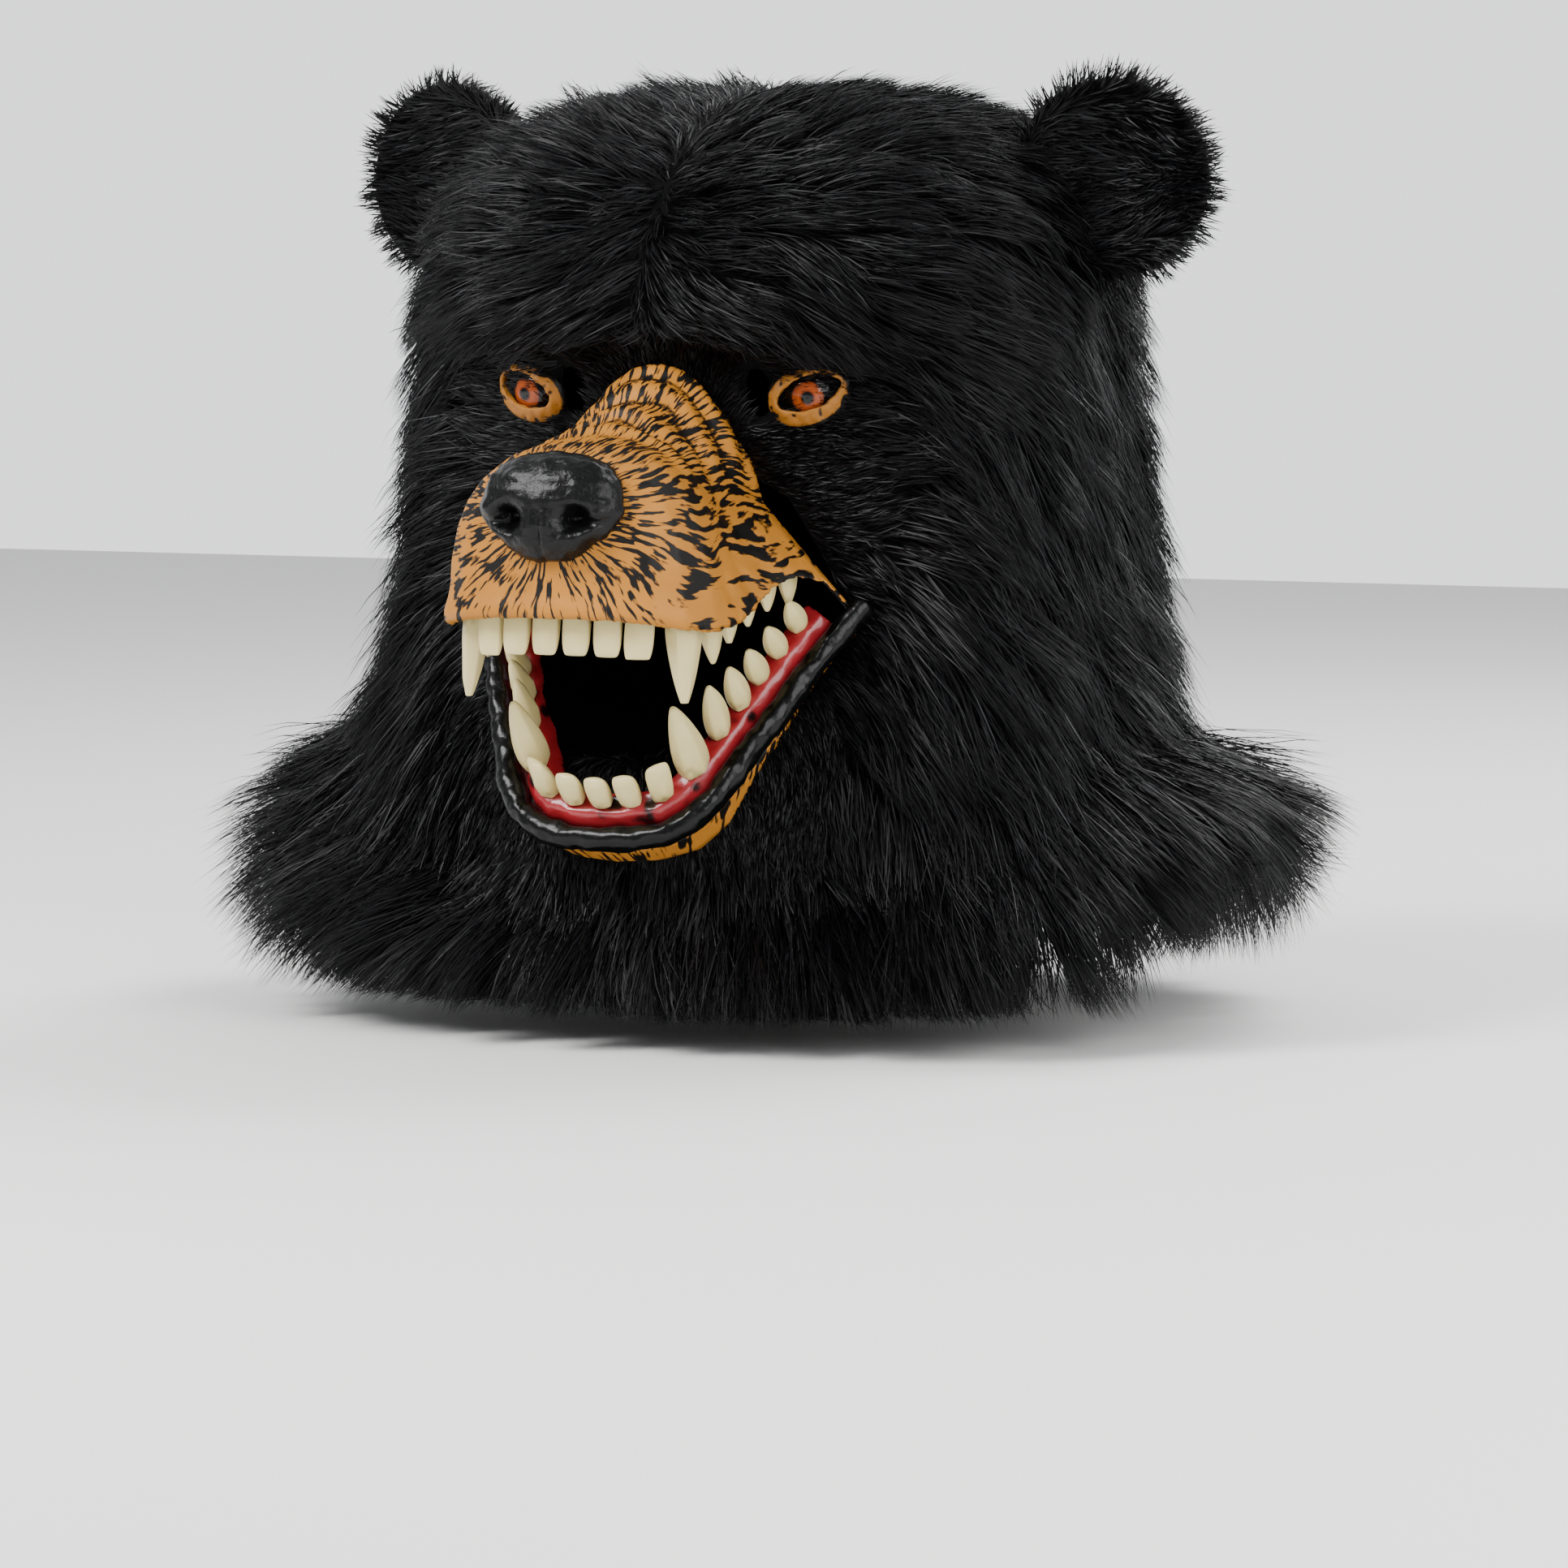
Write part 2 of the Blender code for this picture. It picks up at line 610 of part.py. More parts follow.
def jaw_mesh(name, grow=0.0, wall=0.0, lift=0.0):
    """The jaw as a solid, grown by a distance and lifted at its rim, or the room that its wall leaves inside it."""
    rim = both_sides(rim_half(10))
    rear = -0.030
    rings = []
    for drop, pull in JAW_SIDES:
        h = -JAW_DEPTH * drop
        shrink = JAW_DEPTH * pull
        if wall:
            h = min(h + wall, 0.0) if drop else 0.02
            shrink += wall
        else:
            h += grow if not drop else -grow
            shrink -= grow
        plan = rim[:, :2] * (1 - shrink / np.array([MOUTH_HALF_WIDTH, JAW_REACH]))
        ring = [jaw_point(x, s, h) for x, s in plan]
        ring.append(jaw_point(plan[-1, 0], rear - 0.001, h))
        ring.insert(0, jaw_point(plan[0, 0], rear - 0.001, h))
        if lift and not rings:
            rings.append([point + JAW_UP * lift for point in ring])
        rings.append(ring)
    return rings_mesh(name, rings, cap_start=True, cap_end=True)


def sweep(name, plan, section, place):
    """A closed body with a section of (inset, height) pairs, swept along a whole path."""
    layers = [(inset(plan, away), height) for away, height in section]
    rings = [
        [place(path[i], height) for path, height in layers]
        for i in range(len(plan))
    ]
    return rings_mesh(name, rings, cap_start=True, cap_end=True)


def band_mesh(name, edge, low):
    """The upper gum's band along the lip, from a height above it."""
    half = BAND_THICKNESS / 2
    high = TOOTH_ROOT + BAND_HEIGHT
    section = [
        (UPPER_INSET - half, low),
        (UPPER_INSET + half, low),
        (UPPER_INSET + half, high),
        (UPPER_INSET - half, high),
    ]
    return sweep(name, edge, section, lambda row, h: Vector((row[0], row[1], row[2] + h)))


def circle_section(radius, centre_inset, centre_height, sides):
    """A round section for sweep."""
    return [
        (
            centre_inset + radius * math.cos(2 * math.pi * i / sides),
            centre_height + radius * math.sin(2 * math.pi * i / sides),
        )
        for i in range(sides)
    ]


def tooth(name, base, across, outward, up, size, lean_out, lean_along, form):
    """One tooth: rings from its root to its tip along `up`, leaning without turning its root."""
    width, thickness, length = size
    rings = []
    for share, wide, thick in form:
        centre = base + up * (length * share)
        centre += outward * (length * share * math.tan(math.radians(lean_out)))
        centre += across * (length * share * math.tan(math.radians(lean_along)))
        rings.append([
            centre
            + across * (0.5 * width * wide * math.cos(2 * math.pi * (i + 0.5) / TOOTH_SIDES))
            + outward * (0.5 * thickness * thick * math.sin(2 * math.pi * (i + 0.5) / TOOTH_SIDES))
            for i in range(TOOTH_SIDES)
        ])
    return add_object(name, rings_mesh(name, rings, cap_start=True, cap_end=True), "tooth_ivory")


def ellipsoid(name, centre, radii, turn, segments=20, rings=12, power=2.0):
    """A closed ellipsoid, squarer with a higher power, turned by a matrix."""
    work = bmesh.new()
    bmesh.ops.create_uvsphere(work, u_segments=segments, v_segments=rings, radius=1.0)
    for vert in work.verts:
        squared = [math.copysign(abs(value) ** (2 / power), value) for value in vert.co]
        vert.co = centre + turn @ Vector([radius * value for radius, value in zip(radii, squared)])
    mesh = bpy.data.meshes.new(name)
    work.to_mesh(mesh)
    work.free()
    return mesh


def prism(name, outline, near, far):
    """A prism with an outline of (x, z) pairs between two y places."""
    rings = [[Vector((x, y, z)) for x, z in outline] for y in (near, far)]
    return rings_mesh(name, rings, cap_start=True, cap_end=True)


def oval_prism(name, centre, turn, half_width, half_height, near, far, sides=20, point=1.0):
    """An oval prism along the local y of a turn."""
    rings = []
    for y in (near, far):
        ring = []
        for i in range(sides):
            turned = 2 * math.pi * i / sides
            height = math.copysign(abs(math.sin(turned)) ** point, math.sin(turned))
            ring.append(centre + turn @ Vector((half_width * math.cos(turned), y, half_height * height)))
        rings.append(ring)
    return rings_mesh(name, rings, cap_start=True, cap_end=True)


def ear_mesh(name, side, grow=0.0):
    """A cup ear: a dished disc with a round rim, its hollow facing ahead and outwards."""
    radius, thick = EAR_RADIUS + grow, EAR_THICKNESS / 2 + grow
    profile = []
    for share, half in EAR_PROFILE:
        profile.append((radius * share, EAR_DISH * (0.5 - share**2), half * thick))
    outline = [(r, y - half) for r, y, half in profile] + [(r, y + half) for r, y, half in reversed(profile)]
    turn = Matrix.Rotation(math.radians(side * EAR_YAW_DEG), 3, "Z")
    turn = turn @ Matrix.Rotation(math.radians(side * EAR_LEAN_DEG), 3, "Y")
    centre = Vector((side * EAR_HALF_SPACING, EAR_SETBACK - HOOD_WALL, -EAR_DROP))
    rings = []
    for r, y in outline:
        rings.append([
            centre + turn @ Vector((r * math.cos(2 * math.pi * i / EAR_SIDES), y, r * math.sin(2 * math.pi * i / EAR_SIDES)))
            for i in range(EAR_SIDES)
        ])
    return rings_mesh(name, rings)


def eye_turn(side):
    """How an eye is turned: out to its own side, its inner corner lower."""
    outward = Matrix.Rotation(math.radians(side * EYE_TURN_DEG), 3, "Z")
    return outward @ Matrix.Rotation(math.radians(-side * EYE_TILT_DEG), 3, "Y")


def eye_centre(side, back=0.0):
    """A place on the hood's front at an eye, moved back along the eye's own axis."""
    x = side * EYE_HALF_SPACING
    return Vector((x, hood_front(x, EYE_Z), EYE_Z)) + eye_turn(side) @ Vector((0, back, 0))


# Building

def build_teeth():
    """The 18 upper teeth on the band and the 17 lower teeth on the gum."""
    band_seat = band_mesh("band_seat", both_sides(lip_edge(13)), TOOTH_ROOT - GAP)
    band_seat = add_object("band_seat", band_seat)
    edge = inset(both_sides(lip_edge(41)), UPPER_INSET)
    for name, (share, width, thickness, length, out, along, form) in UPPER_TEETH.items():
        for side, word in ((1, "left"), (-1, "right")):
            place, direction = along_path(edge, 0.5 + side * share / 2)
            across = Vector((direction[0], direction[1], 0)).normalized() * side
            outward = Vector((across.y, -across.x, 0)) * side
            root = TOOTH_ROOT + TOOTH_SET
            base = Vector(place) + Vector((0, 0, root))
            size = (width, thickness, length + root)
            made = tooth("upper_" + name + "_" + word, base, across, outward, -UP, size, out, -along, form)
            cut(made, band_seat)
    rim = inset(both_sides(rim_half(41)), GUM_INSET)
    rows = [("incisor_1", LOWER_MIDDLE, 1, "")]
    for name, row in LOWER_TEETH.items():
        rows += [(name, row, 1, "_left"), (name, row, -1, "_right")]
    for name, (share, width, thickness, length, out, along, form), side, word in rows:
        place, direction = along_path(rim, 0.5 + side * share / 2)
        across = (Vector((direction[0], 0, 0)) + JAW_ALONG * float(direction[1])).normalized() * side
        outward = across.cross(JAW_UP).normalized() * side
        base = jaw_point(place[0], place[1], GUM_TOP + GAP)
        upright = LOWER_UPRIGHT_DEG * (1 - smooth_step(share, 0.40, 0.75))
        rise = JAW_UP - JAW_ALONG * math.tan(math.radians(upright))
        size = (width * LOWER_FIT, thickness, length)
        tooth("lower_" + name + word, base, across, outward, rise, size, out, along, form)


def build_mouth():
    """The muzzle and the jaw as shells, the band and gum inside them, and the lip roll on the jaw's rim."""
    skin = add_object("hood_bounds", hood_skin("hood_bounds", GAP, closed=True))
    muzzle = add_object("muzzle", muzzle_skin("muzzle", closed=True), "tan_latex")
    cavity = add_object("muzzle_cavity", muzzle_inner("muzzle_cavity", MUZZLE_WALL))
    cut(muzzle, cavity, skin)

    jaw = add_object("lower_jaw", jaw_mesh("lower_jaw"), "tan_latex")
    hollow = add_object("jaw_cavity", jaw_mesh("jaw_cavity", wall=JAW_WALL))
    seat = add_object("muzzle_bounds", muzzle_skin("muzzle_bounds", GAP, closed=True))
    cut(jaw, hollow, skin, seat)

    edge = both_sides(lip_edge(13))
    band = add_object("upper_gum", band_mesh("upper_gum", edge, TOOTH_ROOT), "dark_band")
    room = add_object("band_room", muzzle_inner("band_room", MUZZLE_WALL + GAP))
    combine(band, room, "INTERSECT")
    cut(band, skin)

    rim = both_sides(rim_half(12))
    inner = JAW_WALL + GAP
    clear = JAW_WALL / 2 + LIP_RADIUS + GAP
    section = [
        (inner, -GUM_FOOT),
        (inner, -GAP),
        (clear, -GAP),
        (clear, GUM_TOP * 0.55),
        (GUM_INSET - 0.0045, GUM_TOP),
        (GUM_INSET + 0.0045, GUM_TOP),
        (GUM_INSET + 0.0075, GUM_TOP * 0.4),
        (GUM_INSET + 0.0060, -GUM_FOOT),
    ]
    gum = sweep("lower_gum", rim[1:-1], section, lambda row, h: jaw_point(row[0], row[1], h))
    gum = add_object("lower_gum", gum, "gum_red")
    combine(gum, add_object("gum_room", jaw_mesh("gum_room", wall=JAW_WALL + GAP)), "INTERSECT")
    cut(gum, skin, seat)
    lip = sweep(
        "lower_lip",
        both_sides(rim_half(12)),
        circle_section(LIP_RADIUS, JAW_WALL / 2, LIP_RADIUS + GAP, LIP_SIDES),
        lambda row, h: jaw_point(row[0], row[1], h),
    )
    lip = add_object("lower_lip", lip, "black_latex")
    cut(lip, skin, seat)
    return skin, seat


def muzzle_inner(name, wall):
    """The room inside the muzzle's wall, open through its underside and its rear."""
    rings = []
    for row in MUZZLE_SECTIONS.values():
        ring = muzzle_ring(row, -wall)
        shift = wall * smooth_step(row[0], 0.5, 1.0)
        below = Vector((0, 0, -CUT_PAST))
        ring = [point + Vector((0, shift, 0)) for point in ring]
        rings.append([ring[0] + below] + ring + [ring[-1] + below])
    back = Vector((0, CUT_PAST, 0))
    rings.insert(0, [point + back for point in rings[0]])
    return rings_mesh(name, rings, cap_start=True)


def build_face(skin, seat):
    """The nose pad, and the two eyes in their lids."""
    nose_at = Vector((0, muzzle_root() - MUZZLE_REACH * 0.93, EYE_Z - NOSE_DROP - NOSE_HEIGHT * 0.5))
    tilt = Matrix.Rotation(math.radians(-14), 3, "X")
    radii = (NOSE_HALF_WIDTH, NOSE_DEPTH, NOSE_HEIGHT / 2)
    nose = add_object("nose", ellipsoid("nose", nose_at, radii, tilt, 14, 8, 2.4), "black_latex")
    cut(nose, seat)
    for side in (1, -1):
        nostril_at = nose_at + Vector((side * NOSE_HALF_WIDTH * 0.52, -NOSE_DEPTH * 0.95, -NOSE_HEIGHT * 0.06))
        radii = (NOSTRIL_RADIUS, NOSTRIL_RADIUS * 0.8, NOSTRIL_RADIUS * 0.75)
        cutter = ellipsoid("nostril", nostril_at, radii, Matrix.Identity(3), 12, 8)
        cut(nose, add_object("nostril_" + ("left" if side > 0 else "right"), cutter))
    turn = eye_turn(1)
    centre = eye_centre(1, EYEBALL_RADIUS - EYELID_STAND_OUT + 0.001)
    ball = ellipsoid("eyeball_left", centre, [EYEBALL_RADIUS] * 3, turn, 16, 10)
    ball = add_object("eyeball_left", ball, "eye_black")
    cut(ball, skin)
    lid_radii = (EYELID_WIDTH / 2, EYELID_STAND_OUT + 0.0035, EYELID_HEIGHT / 2)
    at = eye_centre(1, 0.002)
    lid = add_object("eyelid_left", ellipsoid("eyelid_left", at, lid_radii, turn, 16, 8), "tan_latex")
    round_ball = ellipsoid("lid_seat", centre, [EYEBALL_RADIUS + GAP] * 3, turn, 16, 10)
    half_width, half_height = EYELID_WIDTH * 0.37, EYELID_HEIGHT * 0.22
    almond = oval_prism("almond", centre, turn, half_width, half_height, -0.05, 0.02, 16, 1.25)
    cut(lid, add_object("almond", almond), add_object("lid_seat", round_ball), skin)
    mirrored(ball, "eyeball_right")
    mirrored(lid, "eyelid_right")
    grown = [radius + GAP for radius in lid_radii]
    lids = []
    for side in (1, -1):
        room = ellipsoid("lid_room", eye_centre(side, 0.002), grown, eye_turn(side), 16, 8)
        lids.append(add_object("lid_room_" + str(side), room))
    return lids


def slit_cutters():
    """The two slits between the bridge and the eyes, through coat and hood."""
    made = []
    for side, word in ((1, "left"), (-1, "right")):
        x = side * SLIT_HALF_SPACING
        centre = Vector((x, hood_front(x, EYE_Z), EYE_Z))
        slit = oval_prism("slit", centre, Matrix.Identity(3), SLIT_WIDTH / 2, SLIT_HEIGHT / 2, -0.05, 0.05, 12)
        made.append(add_object("slit_" + word, slit))
    return made


def build():
    """Makes every piece, then cuts the openings of the hood and its coat."""
    skin, seat = build_mouth()
    build_teeth()
    lids = build_face(skin, seat)
    slits = slit_cutters()
    mouth = [(side * x, z) for side, x, z in MOUTH_OUTLINE_SIGNED]
    opening = add_object("mouth_opening", prism("mouth_opening", mouth, -0.30, -0.05))

    rings = hood_rings() + hood_rings(-HOOD_WALL)[::-1]
    hood = add_object("hood", rings_mesh("hood", rings), "black_cloth")
    cut(hood, opening, *slits)

    coat = add_object("hood_fur", rings_mesh("hood_fur", coat_rings()), "black_fur")
    jaw_room = add_object("jaw_room", jaw_mesh("jaw_room", grow=GAP, lift=GUM_TOP))
    lip_room = add_object("lip_room", sweep(
        "lip_room",
        both_sides(rim_half(12)),
        circle_section(LIP_RADIUS + GAP, JAW_WALL / 2, LIP_RADIUS + GAP, LIP_SIDES),
        lambda row, h: jaw_point(row[0], row[1], h),
    ))
    ear = add_object("ear_left", ear_mesh("ear_left", 1), "black_fur")
    cut(ear, skin)
    mirrored(ear, "ear_right")
    ear_rooms = [add_object("ear_room_" + str(side), ear_mesh("ear_room", side, GAP)) for side in (1, -1)]
    cut(coat, *ear_rooms, *lids, *slits, seat, opening, jaw_room, lip_room)


PARTS, CUTTERS = clear_scene()
build()
for piece in list(PARTS.objects):
    tidied(piece)
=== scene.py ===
"""Dresses the bear mask's frame: black fur in locks, painted latex, teeth, gums, lip, nose and eyes.

The row frame is in metres, +Z up, and the face looks towards -Y. The origin is the inside of the crown.
"""

import logging
import math
from collections.abc import Callable
from dataclasses import dataclass
from enum import Enum

import bmesh
import bpy
import numpy as np
from mathutils import Matrix, Vector, kdtree


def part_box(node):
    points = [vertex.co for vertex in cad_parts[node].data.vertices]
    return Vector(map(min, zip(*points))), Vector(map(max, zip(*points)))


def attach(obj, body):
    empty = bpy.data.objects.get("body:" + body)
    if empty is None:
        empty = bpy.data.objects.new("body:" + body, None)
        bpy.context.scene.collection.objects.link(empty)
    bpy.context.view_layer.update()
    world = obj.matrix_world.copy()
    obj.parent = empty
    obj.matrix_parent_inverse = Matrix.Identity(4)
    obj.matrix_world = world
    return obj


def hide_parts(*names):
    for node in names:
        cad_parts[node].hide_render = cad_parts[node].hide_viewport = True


LOG = logging.getLogger("bear_mask")

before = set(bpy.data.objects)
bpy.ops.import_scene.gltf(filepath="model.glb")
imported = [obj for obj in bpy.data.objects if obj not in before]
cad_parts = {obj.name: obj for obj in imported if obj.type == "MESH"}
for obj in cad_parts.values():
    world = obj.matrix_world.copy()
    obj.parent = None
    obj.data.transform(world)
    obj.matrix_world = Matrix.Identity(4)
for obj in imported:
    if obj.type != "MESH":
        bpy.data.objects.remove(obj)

Array = np.ndarray
EYE_Z = -0.108
"""Height of the eye line, in metres."""
AXIS_Y = 0.010
"""Where the hood's upright axis stands."""
LOW_LIMIT = -0.352
"""The lowest that a lock may hang."""
WIDE_LIMIT = 0.239
"""The furthest that a lock may reach to a side."""
REAR_LIMIT = 0.194
"""The furthest that a lock may reach to the rear."""


def linear(code: str) -> tuple[float, float, float, float]:
    """Turns an sRGB colour into linear light.

    Args:
        code: the colour as six hex digits.

    Returns:
        Red, green, blue and an alpha of one.
    """
    parts = [int(code[i:i + 2], 16) / 255 for i in (0, 2, 4)]
    values = [c / 12.92 if c <= 0.04045 else ((c + 0.055) / 1.055) ** 2.4 for c in parts]
    return (values[0], values[1], values[2], 1.0)


def ramp(value: Array, low: float, high: float) -> Array:
    """A smooth step: 0 below low, 1 above high."""
    share = np.clip((value - low) / (high - low), 0, 1)
    return share * share * (3 - 2 * share)


def unit(vectors: Array) -> Array:
    """Rows of vectors, each at length one."""
    return vectors / np.maximum(np.linalg.norm(vectors, axis=-1, keepdims=True), 1e-9)


def lattice(points: Array, seed: int) -> Array:
    """A repeatable number from 0 to 1 for each whole-numbered place."""
    mixed = points @ np.array([127.1, 311.7, 74.7]) + seed * 53.3
    return np.modf(np.abs(np.sin(mixed) * 43758.5453))[0]


def noise(points: Array, seed: int = 0) -> Array:
    """Smooth value noise from -1 to 1.

    Args:
        points: places in cells of the noise, three numbers each.
        seed: which noise.
    """
    cell = np.floor(points)
    share = points - cell
    share = share * share * (3 - 2 * share)
    total = np.zeros(len(points))
    for corner in np.ndindex(2, 2, 2):
        step = np.array(corner)
        weight = np.prod(np.where(step == 1, share, 1 - share), axis=1)
        total += weight * lattice(cell + step, seed)
    return total * 2 - 1


@dataclass(frozen=True)
class Shader:
    """The node tree of one material, and small ways to add to it."""

    tree: bpy.types.NodeTree

    def add(self, kind: str, settings: dict | None = None, **links) -> bpy.types.Node:
        """Adds a node.

        Args:
            kind: the node's type.
            settings: properties to set.
            links: input names, with spaces as underscores, to values or sockets.

        Returns:
            The node.
        """
        node = self.tree.nodes.new(kind)
        for key, value in (settings or {}).items():
            setattr(node, key, value)
        for key, value in links.items():
            socket = node.inputs[int(key[1:])] if key[0] == "n" and key[1:].isdigit() else node.inputs[key.replace("_", " ")]
            if isinstance(value, bpy.types.NodeSocket):
                self.tree.links.new(value, socket)
            else:
                socket.default_value = value
        return node


@dataclass(frozen=True)
class Finish:
    """A plain surface finish.

    Attributes:
        name: the real material.
        colour: sRGB hex.
        roughness: from 0 to 1.
        coat: clear coat, from 0 to 1.
        sheen: cloth sheen, from 0 to 1.
    """

    name: str
    colour: str
    roughness: float
    coat: float = 0.0
    sheen: float = 0.0
    specular: float = 0.5

    def build(self) -> tuple[bpy.types.Material, Shader, bpy.types.Node]:
        """Makes the material, and returns it with its tree and shader node."""
        made = bpy.data.materials.new(self.name)
        made.use_nodes = True
        shader = made.node_tree.nodes["Principled BSDF"]
        shader.inputs["Base Color"].default_value = linear(self.colour)
        shader.inputs["Roughness"].default_value = self.roughness
        shader.inputs["Coat Weight"].default_value = self.coat
        shader.inputs["Coat Roughness"].default_value = 0.12
        shader.inputs["Sheen Weight"].default_value = self.sheen
        shader.inputs["Specular IOR Level"].default_value = self.specular
        return made, Shader(made.node_tree), shader

    def plain(self) -> bpy.types.Material:
        """Makes the material with nothing added."""
        return self.build()[0]


@dataclass(frozen=True)
class Painted(Finish):
    """A finish with a second colour where the piece's own `paint` values are high, and a fine bump.

    Attributes:
        wash: sRGB hex of the second colour.
        grain_mm: size of the bump's grain.
        bump_mm: depth of the bump.
        strokes: whether hair strokes in the second colour run along the piece's `stroke` coordinates.
    """

    wash: str = "0A0806"
    mottle: str = ""
    grain_mm: float = 1.5
    bump_mm: float = 0.15
    strokes: bool = False

    def plain(self) -> bpy.types.Material:
        """Makes the material with its paint and grain."""
        made, tree, shader = self.build()
        place = tree.add("ShaderNodeTexCoord").outputs["Object"]
        grain = tree.add("ShaderNodeTexNoise", Vector=place, Scale=1000 / self.grain_mm, Detail=3.0)
        patches = tree.add("ShaderNodeTexNoise", Vector=place, Scale=1000 / 14, Detail=3.0)
        mask = tree.add("ShaderNodeAttribute", {"attribute_name": "paint"})
        rough = tree.add(
            "ShaderNodeMath", {"operation": "MULTIPLY_ADD"}, n0=grain.outputs["Fac"], n1=0.5, n2=-0.25
        )
        total = tree.add("ShaderNodeMath", {"operation": "ADD"}, n0=mask.outputs["Fac"], n1=rough.outputs[0])
        height = grain
        edge = tree.add(
            "ShaderNodeMapRange", {"interpolation_type": "SMOOTHSTEP"},
            Value=total.outputs[0], From_Min=0.30, From_Max=0.66,
        )
        if self.strokes:
            drawn = self.drawn(tree)
            edge = tree.add("ShaderNodeMath", {"operation": "MAXIMUM"}, n0=edge.outputs[0], n1=drawn.outputs[0])
            height = tree.add(
                "ShaderNodeMath", {"operation": "MULTIPLY_ADD"}, n0=drawn.outputs[0], n1=-1.6, n2=grain.outputs["Fac"]
            )
        ground = tree.add(
            "ShaderNodeMix", {"data_type": "RGBA"},
            n0=patches.outputs["Fac"], n6=linear(self.colour), n7=linear(self.mottle or self.colour),
        )
        colour = tree.add(
            "ShaderNodeMix", {"data_type": "RGBA"},
            n0=edge.outputs[0], n6=ground.outputs[2], n7=linear(self.wash),
        )
        tree.tree.links.new(colour.outputs[2], shader.inputs["Base Color"])
        bump = tree.add("ShaderNodeBump", Height=height.outputs[0], Distance=self.bump_mm / 1000, Strength=0.6)
        tree.tree.links.new(bump.outputs["Normal"], shader.inputs["Normal"])
        return made

    def drawn(self, tree: Shader) -> bpy.types.Node:
        """The painted hair strokes, along the piece's own `stroke` coordinates, thinner where `sparse` is high."""
        along = tree.add("ShaderNodeAttribute", {"attribute_name": "stroke"}).outputs["Vector"]
        lines = tree.add("ShaderNodeTexNoise", Vector=along, Scale=1.0, Detail=2.0, Roughness=0.45)
        sparse = tree.add("ShaderNodeAttribute", {"attribute_name": "sparse"})
        left = tree.add("ShaderNodeMath", {"operation": "SUBTRACT"}, n0=lines.outputs["Fac"], n1=sparse.outputs["Fac"])
        return tree.add(
            "ShaderNodeMapRange", {"interpolation_type": "SMOOTHSTEP"},
            Value=left.outputs[0], From_Min=0.50, From_Max=0.56,
        )


# Black synthetic fur, in three near-black tones, glossy along the hair
FUR_TONES = (
    Finish("fur_pile_black", "020203", 0.42, specular=0.16),
    Finish("fur_pile_soft_black", "050507", 0.46, specular=0.20),
    Finish("fur_pile_grey_black", "0B0C10", 0.50, specular=0.26),
)
# Black knitted backing of the fur
BACKING = Finish("knit_backing", "030304", 0.9, sheen=0.0, specular=0.1)
# Black lining cloth
CLOTH = Finish("hood_cloth", "060607", 0.95, sheen=0.0, specular=0.1)
# Latex painted ochre, with black worked into the grooves; on the muzzle the same black is also painted shade, on its
# inner face and towards its rear
LATEX = Painted(
    "painted_latex", "BD7C2C", 0.50, specular=0.25, wash="0A0705", mottle="A0671F", grain_mm=1.8, bump_mm=0.3,
    strokes=True,
)
# Latex of the lids, darker and rougher
LID_LATEX = Painted(
    "lid_latex", "A66C26", 0.50, specular=0.25, wash="0A0705", mottle="85541C", grain_mm=1.2, bump_mm=0.3
)
# Black latex with a wet gloss
NOSE_LATEX = Painted(
    "nose_latex", "030303", 0.36, coat=0.08, specular=0.20, wash="000000", mottle="060707", grain_mm=2.2, bump_mm=0.9
)
LIP_LATEX = Painted(
    "lip_latex", "030303", 0.28, coat=0.08, specular=0.20, wash="000000", mottle="050606", grain_mm=3.0, bump_mm=0.5
)
# Painted shade: a flat dark brown-black on the band behind the upper teeth, standing in for the shaded inside of the
# mouth
BAND_PAINTED_SHADE = Finish("mouth_painted_shade", "0A0605", 0.55, specular=0.2)
# Glossy red gum, black in its creases
GUM_LATEX = Painted("gum_latex", "A8242C", 0.30, coat=0.4, wash="1A0506", mottle="7E141B", grain_mm=2.6, bump_mm=0.35)
# Cast resin teeth, ivory with brown towards the root
TOOTH_RESIN = Painted(
    "tooth_resin", "DFCF94", 0.32, coat=0.15, specular=0.4, wash="5E4420", mottle="CDBA7C", grain_mm=4.0, bump_mm=0.08
)


